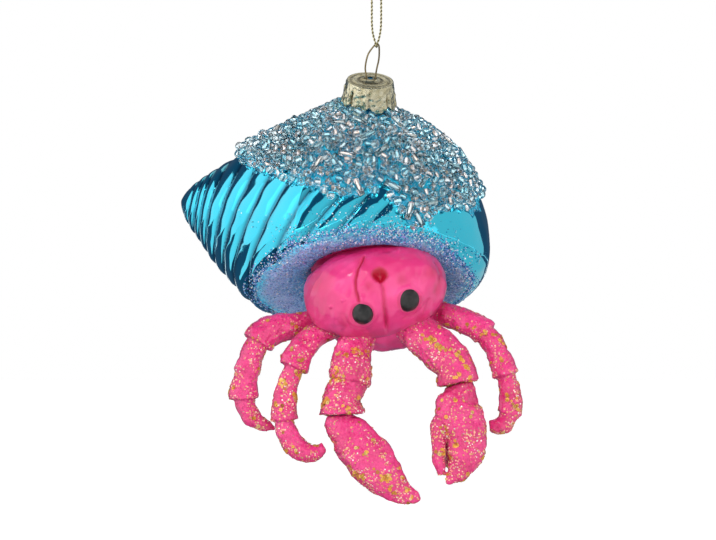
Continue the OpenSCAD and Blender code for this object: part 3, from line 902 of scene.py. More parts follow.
def cap_gold() -> Finish:
    """Make the pale gold lacquer of the thin cap, with painted shade in its creases and inside."""
    f = Finish("cap_gold", Coat(metallic=1.0, roughness=0.3))
    g = f.g
    crease = g.attribute("crease")
    cloud = g.noise(1.4, 4.0)
    gold = g.ramp(cloud, [
        (0.25, (0.46, 0.40, 0.22)), (0.5, (0.68, 0.63, 0.43)), (0.8, (0.86, 0.83, 0.66))])
    # Painted shade: the gold turns almost black in the folds, in the top's grooves, round the vent and
    # inside.
    f.set("Base Color", g.blend(g.math("MULTIPLY", crease, 0.85), gold, (0.08, 0.065, 0.03)))
    f.set("Roughness", g.between(g.noise(0.7, 3.0), 0.16, 0.38))
    f.set("Normal", g.bump(g.noise(0.9, 5.0), 0.16, 1.0))
    return f


def wire_gold() -> Finish:
    """Make the dull gold spring wire."""
    f = Finish("wire_gold", Coat(metallic=1.0, roughness=0.3))
    g = f.g
    f.set("Base Color", g.ramp(g.noise(1.5, 3.0), [
        (0.3, (0.16, 0.12, 0.06)), (0.7, (0.36, 0.28, 0.14))]))
    f.set("Roughness", g.between(g.noise(0.5, 3.0), 0.25, 0.45))
    return f


def cord_gold() -> Finish:
    """Make the metallic yarn of the cord, with painted shade in the groove between its plies."""
    f = Finish("cord_gold", Coat(metallic=0.85, roughness=0.35))
    g = f.g
    yarn = g.ramp(g.noise(0.35, 3.0), [
        (0.3, (0.50, 0.42, 0.18)), (0.6, (0.82, 0.74, 0.42)), (0.8, (1.0, 0.96, 0.75))])
    # Painted shade: the yarn turns near black in the groove between the plies.
    f.set("Base Color", g.blend(g.attribute("lit_ply"), (0.05, 0.035, 0.01), yarn))
    f.set("Roughness", g.between(g.noise(0.2, 2.0), 0.25, 0.5))
    f.set("Normal", g.bump(g.noise(0.12, 3.0), 0.04, 0.8))
    return f


def eye_black() -> Finish:
    """Make the glossy black of the eye beads, with faint grey clouds in it."""
    f = Finish("eye_black", Coat(roughness=0.28, ior=1.4, coat=0.25, coat_roughness=0.12))
    g = f.g
    f.set("Base Color", g.ramp(g.noise(1.6, 3.0), [
        (0.3, (0.004, 0.005, 0.005)), (0.75, (0.028, 0.026, 0.026))]))
    f.set("Normal", g.bump(g.noise(1.2, 2.0), 0.03, 0.3))
    return f


# --- Shell ---


@dataclass(frozen=True)
class ShellForm:
    """Sizes and surface of the blown shell. Angle 0 looks up, and 90 looks to the front."""

    length: float = 78.0
    radius: float = 31.0
    wide_at: float = 37.0
    tip_bend: float = 0.95
    tip_power: float = 0.72
    end_bend: float = 2.5
    end_power: float = 0.64
    slope: float = 11.3
    yaw: float = 14.0
    centre: Point = (-4.6, 8.0, -59.5)
    middle: float = 45.0
    mouth_dist: float = 14.2
    mouth_tilt: float = 63.8
    mouth_turn: float = 3.5
    well_r: float = 16.2
    well_ball_r: float = 18.5
    well_up: float = 7.3
    well_right: float = 3.3
    ridge_depth: float = 0.72
    ridge_power: float = 0.6
    ridge_end: float = 64.0
    ridge_fade_in: float = 6.0
    ridge_fade_out: float = 14.0
    valleys: tuple[float, ...] = (0.0, 2.0, 3.8, 5.7, 7.9, 10.6, 14.0, 17.9, 22.2, 27.3, 33.2, 38.8,
                                  44.2, 49.3, 54.2, 59.0, 63.8, 68.6, 73.4, 78.2, 83.0)
    lean_at: tuple[float, ...] = (0.0, 10.0, 15.0, 20.0, 25.0, 31.0, 38.0, 45.0, 60.0)
    lean: tuple[float, ...] = (0.0, 0.5, 2.3, 4.3, 6.3, 8.6, 11.5, 15.0, 15.5)
    lean_from: float = 100.0
    anchor_depth: float = 20.0
    edge_soft: float = 9.0

    @property
    def axes(self) -> Axes:
        """Axes with the tip as origin and the third along the shell."""
        sl, yw = math.radians(self.slope), math.radians(self.yaw)
        way = np.array([math.cos(yw) * math.cos(sl), -math.sin(yw), -math.cos(yw) * math.sin(sl)])
        return Axes.at(np.array(self.centre) - way * self.middle, way, (0.0, 0.0, 1.0))

    @property
    def mouth(self) -> Axes:
        """Axes of the mouth's face, the third out of it."""
        tilt, turn = math.radians(self.mouth_tilt), math.radians(self.mouth_turn)
        way = np.array([math.sin(turn) * math.cos(tilt), -math.cos(turn) * math.cos(tilt),
                        -math.sin(tilt)])
        return Axes.at(np.array(self.centre) + way * self.mouth_dist, way, (0.0, 0.0, 1.0))

    def smooth_radius(self, t: np.ndarray) -> np.ndarray:
        """Give the radius without ridges at distance t from the tip.

        Args:
            t: Distances from the tip.

        Returns:
            Radii in millimetres.
        """
        near = np.clip((self.wide_at - t) / self.wide_at, 0.0, 1.0)
        far = np.clip((t - self.wide_at) / (self.length - self.wide_at), 0.0, 1.0)
        towards_tip = (1.0 - near ** self.tip_bend) ** self.tip_power
        towards_end = (1.0 - far ** self.end_bend) ** self.end_power
        return self.radius * np.where(t < self.wide_at, towards_tip, towards_end)

    def valley_share(self, t: np.ndarray, angle: np.ndarray) -> np.ndarray:
        """Give 0 on the ridges and 1 in the valleys between them.

        Args:
            t: Distances from the tip.
            angle: Angles round the axis.

        Returns:
            One share for each place.
        """
        lean = np.interp(t, self.lean_at, self.lean)
        along = t - lean * np.sin(np.radians(self.lean_from) - angle)
        number = np.interp(along, self.valleys, np.arange(len(self.valleys)))
        height = np.abs(np.sin(math.pi * number)) ** self.ridge_power
        fade_in = np.clip(t / self.ridge_fade_in, 0.0, 1.0)
        fade_out = np.clip((self.ridge_end - t) / self.ridge_fade_out, 0.0, 1.0)
        return (1.0 - height) * (fade_in * fade_out)

    def at(self, t: np.ndarray, angle: np.ndarray, off: np.ndarray | float = 0.0,
           ridges: bool = True) -> np.ndarray:
        """Give points of the surface, moved outwards by off.

        Args:
            t: Distances from the tip.
            angle: Angles round the axis, in radians.
            off: How far out of the surface.
            ridges: Whether the ridges count.

        Returns:
            Points in millimetres.
        """
        r = self.smooth_radius(t)
        if ridges:
            r = r - self.ridge_depth * self.valley_share(t, angle)
        ahead, behind = np.clip(t + 0.5, 0.0, self.length), np.clip(t - 0.5, 0.0, self.length)
        slope = self.smooth_radius(ahead) - self.smooth_radius(behind)
        long = np.sqrt(1.0 + slope * slope)
        r = np.maximum(r + off / long, 0.0)
        local = np.stack([r * np.cos(angle), r * np.sin(angle), t - off * slope / long], axis=-1)
        return self.axes.place(local)

    def out_of(self, t: float, angle: float) -> np.ndarray:
        """Give the way out of the surface at one place."""
        a = self.at(np.array(t), np.array(angle), 0.0, False)
        return unit(self.at(np.array(t), np.array(angle), 1.0, False) - a)

    def mouth_edge(self, turn: np.ndarray, height: np.ndarray | float) -> np.ndarray:
        """Find where rays from the well's middle meet the shell, in a plane above the mouth's face.

        Args:
            turn: Angles in that plane, in radians.
            height: How far the plane lies out of the mouth's face.

        Returns:
            Distances from the well's middle.
        """
        low, high = np.full(turn.shape, 8.0), np.full(turn.shape, 60.0)
        for _ in range(36):
            mid = 0.5 * (low + high)
            inside = self.contains(self.in_mouth(turn, mid, height))
            low, high = np.where(inside, mid, low), np.where(inside, high, mid)
        return low

    def contains(self, points: np.ndarray) -> np.ndarray:
        """Say which points lie inside the whole shell, before the mouth is made.

        Args:
            points: Places in millimetres.

        Returns:
            True for those inside.
        """
        local = self.axes.local(points)
        t = np.clip(local[..., 2], 0.0, self.length)
        angle = np.arctan2(local[..., 1], local[..., 0])
        limit = self.smooth_radius(t) - self.ridge_depth * self.valley_share(t, angle)
        along = (local[..., 2] > 0.0) & (local[..., 2] < self.length)
        return (np.hypot(local[..., 0], local[..., 1]) < limit) & along

    @property
    def anchor(self) -> np.ndarray:
        """A point deep inside the shell, behind the well's middle."""
        return self.in_mouth(np.array(0.0), 0.0, -self.anchor_depth)

    def rounded(self, points: np.ndarray) -> np.ndarray:
        """Press points of the whole shell onto the mouth's face, its round edge and the well.

        Args:
            points: Places on the shell before the mouth is made.

        Returns:
            The places, moved along lines from the anchor.
        """
        face, anchor = self.mouth.w, self.anchor
        away = points - anchor
        reach = np.linalg.norm(away, axis=-1)
        way = away / reach[..., None]
        plane = self.anchor_depth / np.maximum(way @ face, 1e-6)
        near_edge = np.maximum(self.edge_soft - np.abs(plane - reach), 0.0) / self.edge_soft
        pressed = np.minimum(plane, reach) - near_edge ** 3 * self.edge_soft / 6.0
        ball = face * (self.anchor_depth + math.sqrt(self.well_ball_r ** 2 - self.well_r ** 2))
        ahead = way @ ball
        room = ahead ** 2 - (ball @ ball - self.well_ball_r ** 2)
        cup = np.where((room > 0.0) & (ahead > 0.0), ahead - np.sqrt(np.maximum(room, 0.0)), 1e9)
        return anchor + way * np.minimum(pressed, cup)[..., None]

    def over(self, points: np.ndarray) -> np.ndarray:
        """Bring any points to the glass, along lines from the anchor.

        Args:
            points: Places in millimetres.

        Returns:
            Places on the rounded glass.
        """
        way = unit(points - self.anchor)
        low, high = np.full(way.shape[:-1], 5.0), np.full(way.shape[:-1], 90.0)
        for _ in range(30):
            mid = 0.5 * (low + high)
            inside = self.contains(self.anchor + way * mid[..., None])
            low, high = np.where(inside, mid, low), np.where(inside, high, mid)
        return self.rounded(self.anchor + way * low[..., None])

    def in_mouth(self, turn: np.ndarray, radius: np.ndarray | float,
                 height: np.ndarray | float) -> np.ndarray:
        """Place points by angle and radius round the well's middle.

        Args:
            turn: Angles round the well.
            radius: Distances from its middle.
            height: How far out of the mouth's face.

        Returns:
            Points in millimetres.
        """
        up = self.well_up + radius * np.cos(turn)
        side = -self.well_right + radius * np.sin(turn)
        return self.mouth.place(np.stack([up, side, np.broadcast_to(height, up.shape)], axis=-1))


@dataclass
class GlassShell:
    """The blown glass: the ridged shell, the well of its mouth and the neck."""

    form: ShellForm
    rows: int = 420
    columns: int = 400
    swell: float = 0.15
    ripple: float = 0.03
    neck_r: float = 4.6
    neck_bore_r: float = 3.7
    neck_top: float = -0.4
    neck_foot: float = -13.5
    neck_sides: int = 64

    def build(self, cap: "CapForm") -> bpy.types.Object:
        """Make the shell as one closed form with its neck.

        Args:
            cap: Form of the cap, whose axis the neck follows.

        Returns:
            The piece.
        """
        f = self.form
        share = np.linspace(0.0, 1.0, self.rows)
        t = 0.05 + (f.length - 0.07) * (share - 0.035 * np.sin(TURN * share))
        angle = np.arange(self.columns) * TURN / self.columns
        tt, aa = np.meshgrid(t, angle, indexing="ij")
        plain = f.at(tt, aa)
        swell = self.swell * wobble(plain, 14.0, 5) + self.ripple * wobble(plain, 5.0, 6)
        points = f.rounded(f.at(tt, aa, swell))
        flat, faces = loft(points, True)
        body = make_piece("shell_glass", flat, faces)
        # Painted shade in the ridge valleys, and in full on the glass inside the neck under the cap.
        valley_neck_shade = np.clip(f.valley_share(tt, aa).ravel() * 1.25 - 0.25, 0.0, 1.0)
        near_cap = cap.axes.local(flat)
        round_axis = np.hypot(near_cap[:, 0], near_cap[:, 1]) < self.neck_r
        under_neck = round_axis & (near_cap[:, 2] > self.neck_foot)
        mark(body, "valley_neck_shade", np.where(under_neck, 1.0, valley_neck_shade))
        self._add_neck(body, cap)
        return body

    def _add_neck(self, body: bpy.types.Object, cap: "CapForm") -> None:
        """Stand the neck's tube into the shell, under the cap.

        Args:
            body: The shell.
            cap: Form of the cap, which gives the axis.
        """
        bore, wide, top, foot, edge = self.neck_bore_r, self.neck_r, self.neck_top, self.neck_foot, 0.2
        profile = [(bore, foot), (bore, top - edge), (bore + edge, top),
                   (wide - edge, top), (wide, top - edge), (wide, foot)]
        points, faces = loft(turned(profile, self.neck_sides), False)
        faces += closing_faces(len(profile), self.neck_sides)
        mesh = bmesh.new()
        mesh.from_mesh(body.data)
        valley_neck_shade = mesh.verts.layers.float["valley_neck_shade"]
        made = [mesh.verts.new(Vector(p * MM)) for p in cap.axes.place(points)]
        # The neck under the cap takes full painted shade.
        for corner in made:
            corner[valley_neck_shade] = 1.0
        for face in faces:
            mesh.faces.new([made[i] for i in face]).smooth = True
        bmesh.ops.recalc_face_normals(mesh, faces=mesh.faces)
        mesh.to_mesh(body.data)
        mesh.free()


@dataclass
class MouthBand:
    """The rim of glitter round the mouth, thick inside and dusted out to nothing on the glass."""

    form: ShellForm
    thickness: float = 0.6
    sides: int = 420
    steps: int = 44
    inner: float = 0.9
    turns: tuple[float, ...] = (-180, -140, -108, -88, -70, -50, -22, 0, 25, 42, 60, 80, 100, 115, 140,
                                180)
    wrap: tuple[float, ...] = (-2.0, -2.0, -1.6, -2.0, -0.9, 1.0, 1.4, 1.6, 1.2, 0.4, -1.0, -1.4, -1.8,
                               -1.8, -2.0, -2.0)
    # Where the band's painted shade starts and where it is full, from left to right across the mouth.
    band_shade_from: float = -19.0
    band_shade_to: float = -8.0
    inside_by: float = 18.0
    sparkles: int = 9000
    sparkles_on: float = 0.62
    sparkle_drift: float = 0.16
    sparkle_reach: float = 3.2

    def along(self, turn: np.ndarray, run: np.ndarray) -> np.ndarray:
        """Give points on the glass from the well's edge outwards.

        Args:
            turn: Angles round the well, in radians.
            run: Distances from the well's edge, over the face and then up the outside.

        Returns:
            Points on the rounded glass.
        """
        f = self.form
        face = self.face_width(turn)
        over = np.maximum(run - face, 0.0)
        radius = np.where(over > 0.0, f.mouth_edge(turn, -over), f.well_r + run)
        return f.over(f.in_mouth(turn, radius, -over))

    def face_width(self, turn: np.ndarray) -> np.ndarray:
        """Give the width of the mouth's face at each angle."""
        return self.form.mouth_edge(turn, 0.0) - self.form.well_r

    def width(self, turn: np.ndarray) -> np.ndarray:
        """Give the width of the band at each angle."""
        return self.face_width(turn) + np.interp(np.degrees(turn), self.turns, self.wrap)

    def gloom(self, points: np.ndarray) -> np.ndarray:
        """Give the band's painted shade, none at the left of the mouth and full at its top and right."""
        return smoothstep(self.band_shade_from, self.band_shade_to, points[..., 0])

    def height(self, share: np.ndarray) -> np.ndarray:
        """Give how thick the glitter lies at each share of the band's width."""
        return self.thickness * np.sin(math.pi * np.clip(share * 0.9 + 0.12, 0.0, 1.0)) ** 0.8

    def outwards(self, ways: np.ndarray, base: np.ndarray) -> np.ndarray:
        """Turn ways that stand on the glass so that each looks out of it."""
        inside = self.form.mouth.origin - self.inside_by * self.form.mouth.w
        return ways * np.sign(np.sum(ways * (base - inside), axis=-1, keepdims=True))

    def build(self) -> bpy.types.Object:
        """Make the band as a closed sheet on the glass."""
        turn = np.linspace(-math.pi, math.pi, self.sides, endpoint=False)
        share = np.linspace(0.0, 1.0, self.steps)
        ss, tt = np.meshgrid(share, turn, indexing="ij")
        wide = np.broadcast_to(self.width(turn), ss.shape)
        edge = self.form.in_mouth(tt, wide, 0.0)
        ragged = 0.35 * wobble(edge, 4.0, 21) + 0.25 * wobble(edge, 1.7, 24)
        run = -self.inner + (wide + self.inner + ragged) * ss
        base = self.along(tt, run)
        across = np.gradient(base, axis=0)
        round_it = np.roll(base, -1, axis=1) - np.roll(base, 1, axis=1)
        out = self.outwards(unit(np.cross(round_it, across)), base)
        height = self.height(ss)
        lumps = 0.05 * wobble(base, 1.5, 22) + 0.06 * wobble(base, 3.5, 23)
        top = base + (height + lumps * np.clip(height * 3.0, 0.0, 1.0) + 0.04)[..., None] * out
        under = base - 0.05 * out
        rings = np.concatenate([top, under[::-1]])
        flat, faces = loft(rings, False)
        faces += closing_faces(len(rings), self.sides)
        band = make_piece("glitter_band", flat, faces)
        mark(band, "rim", np.concatenate([ss, ss[::-1]]).ravel())
        # Painted shade, which darkens the band from the left of the mouth to its top and right.
        mark(band, "gloom", self.gloom(rings).ravel())
        return band

    def build_sparkles(self) -> bpy.types.Object:
        """Strew larger flakes on the band, and thinner ones past its edge."""
        rng = np.random.default_rng(25)
        count = self.sparkles
        turn = rng.uniform(-math.pi, math.pi, count)
        on_band = rng.random(count) < self.sparkles_on
        across = rng.random(count)
        past_edge = 1.0 + np.abs(rng.normal(0.0, self.sparkle_drift, count))
        share = np.where(on_band, across, past_edge)
        wide = self.width(turn)
        run = np.minimum(wide * share, wide + self.sparkle_reach)
        base = self.along(turn, run)
        deeper = self.along(turn, run + 0.2)
        beside = self.along(turn + 0.01, run)
        out = self.outwards(unit(np.cross(beside - base, deeper - base)), base)
        height = np.where(share < 1.0, self.height(share), 0.0) + 0.06
        lean = unit(out + rng.normal(0.0, 0.35, (count, 3)))
        flake = Swarm([(0.16, -0.02), (0.16, 0.02)], 6, False)
        # Painted shade: towards the top and right of the mouth, the sparkles take darker tints.
        tints = rng.random(count) ** (1.0 + 0.8 * self.gloom(base))
        for place, way, lift, tint, size in zip(base, lean, height, tints, rng.uniform(0.6, 1.4, count)):
            flake.add(place + way * lift, way, float(tint), float(size))
        return flake.piece("band_sparkles", False)


# --- Crust ---


@dataclass(frozen=True)
class BeadLayer:
    """One layer of seed beads: its height, how many are tried and where it may lie."""

    height: float
    tries: int
    inset: float
    from_angle: float
    share: float


@dataclass(frozen=True)
class DustPatch:
    """One drift of loose glitter: its middle, its spread both ways and how many flakes are tried."""

    t: float
    angle: float
    along: float
    across: float
    count: int


@dataclass
class Crust:
    """Glitter glue on top of the shell with seed beads and tube beads in it."""

    form: ShellForm
    cap: "CapForm"
    start: float = 14.0
    end: float = 73.5
    back: float = 58.0
    edge_at: tuple[float, ...] = (14, 18, 22, 30, 37, 45, 51, 56, 60, 62, 64.5, 66.5, 70, 73.5)
    edge: tuple[float, ...] = (32, 48, 56, 65, 71, 73, 68, 63, 70, 77, 79, 64, 50, 36)
    bed: float = 0.5
    seed_r: float = 1.05
    seed_len: float = 1.5
    seed_hole: float = 0.36
    tube_r: float = 0.85
    tube_len: float = 4.2
    tube_hole: float = 0.42
    tube_fill: tuple[float, ...] = (-1.35, -0.45, 0.45, 1.35)
    more_tubes: int = 34
    tube_gap: float = 3.4
    tube_off_cap: float = 10.0
    gap: float = 1.88
    seed_off_cap: float = 8.1
    bare_off_cap: float = 10.4
    bare_to: float = 60.0
    bare_share: float = 0.85
    layers: tuple[BeadLayer, ...] = (
        BeadLayer(1.25, 60000, 0.3, -90.0, 1.0), BeadLayer(1.9, 30000, 4.0, 22.0, 1.0),
        BeadLayer(1.7, 4000, 5.0, -90.0, 1.0), BeadLayer(2.5, 30000, 7.0, 30.0, 1.0))
    tubes: tuple[tuple[float, float, float], ...] = (
        (64.0, 71, 25), (61.8, 69, 160), (65.2, 60, 100), (57, 60, 60), (50, 66, 20), (45, 52, 75),
        (39, 60, 150), (33, 50, 95), (52, 44, 130), (60, 40, 15), (44, 30, 50), (27, 38, 115),
        (36, 20, 10), (66, 20, 70), (58, -25, 140), (40, -35, 60))
    back_at: tuple[float, ...] = (14, 17, 21, 26, 33, 39, 46, 52, 60, 67, 73.5)
    back_edge: tuple[float, ...] = (8, 30, 44, 54, 49, 57, 52, 57, 54, 30, 4)
    dust: tuple[DustPatch, ...] = (
        DustPatch(63, 82, 7.0, 7.0, 1100), DustPatch(40, 92, 8.0, 3.0, 110),
        DustPatch(50, 86, 8.0, 5.0, 260))
    dust_from: float = 20.0
    dust_to: float = 77.0
    dust_lowest: float = 112.0
    dust_off_mouth: float = 1.2
    dust_lean: float = 0.35
    cell: float = 2.0
    taken: dict[tuple[int, int, int], list[np.ndarray]] = field(default_factory=dict)

    def front(self, t: np.ndarray) -> np.ndarray:
        """Give how far the crust comes down the front, in degrees."""
        return np.interp(t, self.edge_at, self.edge)

    def from_cap(self, points: np.ndarray) -> np.ndarray:
        """Give the distance of points from the cap's axis."""
        local = self.cap.axes.local(points)
        return np.hypot(local[..., 0], local[..., 1])

    def build_glue(self) -> bpy.types.Object:
        """Make the lumpy sheet of glue with its ragged edge."""
        f = self.form
        t = np.linspace(self.start - 1.0, self.end + 1.2, 240)
        a = np.linspace(-self.back - 3.0, 80.0, 300)
        tt, aa = np.meshgrid(t, a, indexing="ij")
        plain = f.at(tt, np.radians(aa), 0.0, False)
        ragged = 2.4 * wobble(plain, 6.0, 31) + 1.2 * wobble(plain, 2.4, 32)
        inside = np.minimum.reduce([
            (self.front(tt) - 1.8 + 0.8 * ragged - aa) * 0.5,
            (aa + np.interp(tt, self.back_at, self.back_edge) + 1.0 + ragged) * 0.5,
            tt - self.start + 0.2 + 0.3 * ragged, self.end + 0.2 - tt + 0.2 * ragged,
            (self.from_cap(plain) - 5.6)])
        rise = smoothstep(0.0, 1.1, inside)
        height = rise * (0.42 + 0.2 * wobble(plain, 3.4, 33) + 0.1 * wobble(plain, 1.5, 34)) + 0.03
        points = f.at(tt, np.radians(aa), height)
        keep = (inside > 0.0).ravel()
        faces = [q for q in grid_faces(len(t), len(a), False).tolist() if all(keep[i] for i in q)]
        used = sorted({i for q in faces for i in q})
        number = {old: new for new, old in enumerate(used)}
        flat = points.reshape(-1, 3)[used]
        sheet = make_piece("glitter_glue", flat, [[number[i] for i in q][::-1] for q in faces])
        thick = sheet.modifiers.new("thickness", "SOLIDIFY")
        thick.thickness = 0.12 * MM
        thick.offset = -1.0
        apply_modifiers(sheet)
        return sheet

    def _cell(self, place: np.ndarray) -> tuple[int, int, int]:
        """Give the number of the cell that holds a place."""
        x, y, z = np.floor(place / self.cell).astype(int)
        return int(x), int(y), int(z)

    def _take(self, place: np.ndarray) -> None:
        """Note that a bead fills this place."""
        self.taken.setdefault(self._cell(place), []).append(place)

    def _free(self, place: np.ndarray, gap: float) -> bool:
        """Say whether no bead lies within gap of the place.

        Args:
            place: The place to test.
            gap: Least distance from another bead.

        Returns:
            True where a bead fits.
        """
        x, y, z = self._cell(place)
        cells = math.ceil(gap / self.cell)
        reach = range(-cells, cells + 1)
        for i in reach:
            for j in reach:
                for k in reach:
                    for other in self.taken.get((x + i, y + j, z + k), ()):
                        away = other - place
                        if float(away @ away) < gap * gap:
                            return False
        return True

    def build_tubes(self) -> tuple[bpy.types.Object, bpy.types.Object]:
        """Make the tube beads and their linings."""
        f, half, edge, short = self.form, self.tube_len / 2, 0.12, 0.05
        r, hole = self.tube_r, self.tube_hole
        glass = Swarm([(hole, -half), (r - edge, -half), (r, -half + edge),
                       (r, half - edge), (r - edge, half), (hole, half)], 20, True)
        lining = Swarm([(hole * 0.72, -half + short), (hole * 0.98, -half + short),
                        (hole * 0.98, half - short), (hole * 0.72, half - short)], 16, True)
        rng = random.Random(41)
        more = []
        while len(more) < self.more_tubes:
            t = rng.uniform(self.start + 4, self.end - 4)
            a = rng.uniform(-self.back + 4, 66.0)
            if a < self.front(np.array(t)) - 5:
                more.append((t, a, rng.uniform(0, 180)))
        for count, (t, a, lie) in enumerate([*self.tubes, *more]):
            pictured = count < len(self.tubes)
            angle, turn = math.radians(a), math.radians(lie)
            off = self.bed + self.tube_r - 0.1 + (0.0 if pictured else rng.uniform(0.3, 0.9))
            out = f.out_of(t, angle)
            place = f.at(np.array(t), np.array(angle), off, False)
            crowded = not self._free(place, self.tube_gap) or self.from_cap(place) < self.tube_off_cap
            if crowded and not pictured:
                continue
            axes = Axes.at((0, 0, 0), out, (0, 0, 1))
            tip = 0.0 if pictured else rng.uniform(-0.2, 0.2)
            way = unit(axes.place(np.array([math.cos(turn), math.sin(turn), tip])))
            tint = rng.random()
            size = 1.0 if pictured else rng.uniform(0.72, 0.95)
            glass.add(place, way, tint, size)
            lining.add(place, way, 0.5 + 0.5 * tint, size)
            for run in self.tube_fill:
                self._take(place + way * run * size)
        return glass.piece("tube_beads"), lining.piece("tube_linings")

    def build_seeds(self) -> tuple[bpy.types.Object, bpy.types.Object]:
        """Strew the seed beads, layer on layer, and make their linings."""
        f = self.form
        r, half, hole = self.seed_r, self.seed_len / 2, self.seed_hole
        upper = [(r - 0.09, half * 0.66), (r - 0.34, half), (hole + 0.2, half), (hole, half * 0.86)]
        lower = [(wide, -high) for wide, high in reversed(upper)]
        glass = Swarm([*lower, (r, 0.0), *upper], 16, True)
        lining = Swarm([(hole * 0.7, -half * 0.84), (hole * 0.985, -half * 0.84),
                        (hole * 0.985, half * 0.84), (hole * 0.7, half * 0.84)], 12, True)
        rng = np.random.default_rng(43)
        for layer in self.layers:
            tries = layer.tries
            t = rng.uniform(self.start + 0.8, self.end - 1.2, tries)
            a = rng.uniform(-self.back + 2.0, 84.0, tries)
            place = f.at(t, np.radians(a), layer.height + rng.uniform(-0.1, 0.15, tries), False)
            keep = rng.random(tries) * f.radius < f.smooth_radius(t)
            keep &= rng.random(tries) < layer.share
            keep &= a > layer.from_angle + rng.uniform(-5.0, 5.0, tries)
            keep &= a < self.front(t) + rng.uniform(-2.0, 0.8, tries) - layer.inset
            keep &= -a < np.interp(t, self.back_at, self.back_edge) - 2.0 - layer.inset
            bare = (a > 0.0) & (a < self.bare_to) & (rng.random(tries) < self.bare_share)
            keep &= self.from_cap(place) > np.where(bare, self.bare_off_cap, self.seed_off_cap)
            for spot in place[keep]:
                if self._free(spot, self.gap):
                    way = unit(rng.normal(size=3))
                    tint, size = float(rng.random()), float(rng.uniform(0.98, 1.1))
                    glass.add(spot, way, tint, size)
                    lining.add(spot, way, tint, size)
                    self._take(spot)
        LOG.info("crust has %d seed beads", len(glass.points))
        return glass.piece("seed_glass"), lining.piece("seed_linings")

    def build_dust(self) -> bpy.types.Object:
        """Strew fine glitter on the glass between the crust and the mouth's band."""
        f = self.form
        flake = Swarm([(0.14, -0.02), (0.14, 0.02)], 6, False)
        rng = random.Random(47)
        for patch in self.dust:
            for _ in range(patch.count):
                t = min(max(rng.gauss(patch.t, patch.along), self.dust_from), self.dust_to)
                a = rng.gauss(patch.angle, patch.across)
                if a < float(self.front(np.array(t))) - 1 or a > self.dust_lowest:
                    continue
                angle = math.radians(a)
                place = f.at(np.array(t), np.array(angle), 0.04)
                if f.mouth.local(place)[2] > -self.dust_off_mouth:
                    continue
                lean = np.array([rng.gauss(0, self.dust_lean) for _ in range(3)])
                flake.add(place, unit(f.out_of(t, angle) + lean), rng.random(), rng.uniform(0.6, 1.5))
        return flake.piece("glass_dust", False)


# --- Cap, wire and cord ---


@dataclass(frozen=True)
class CapForm:
    """Place and sizes of the crimped cap."""

    lean: float = 4.0
    tip: float = 22.0
    dome: float = 0.6
    top_r: float = 5.65
    skirt_r: float = 6.6
    height: float = 6.4
    sheet: float = 0.28
    pleats: int = 8
    hole_gap: float = 2.5
    hole_r: float = 0.5
    vent_y: float = 0.45
    vent_wide: float = 0.62
    vent_deep: float = 1.25
    wire_hole: Point = (-1.46, 0.0, -21.7)

    @property
    def axes(self) -> Axes:
        """Axes from the middle of the cap's top, the third out of it."""
        lean, tip = math.radians(self.lean), math.radians(self.tip)
        way = np.array([math.sin(lean) * math.cos(tip), -math.sin(tip),
                        math.cos(lean) * math.cos(tip)])
        return Axes.at(np.array(self.wire_hole) - way * self.dome, way, (1.0, 0.0, 0.0))


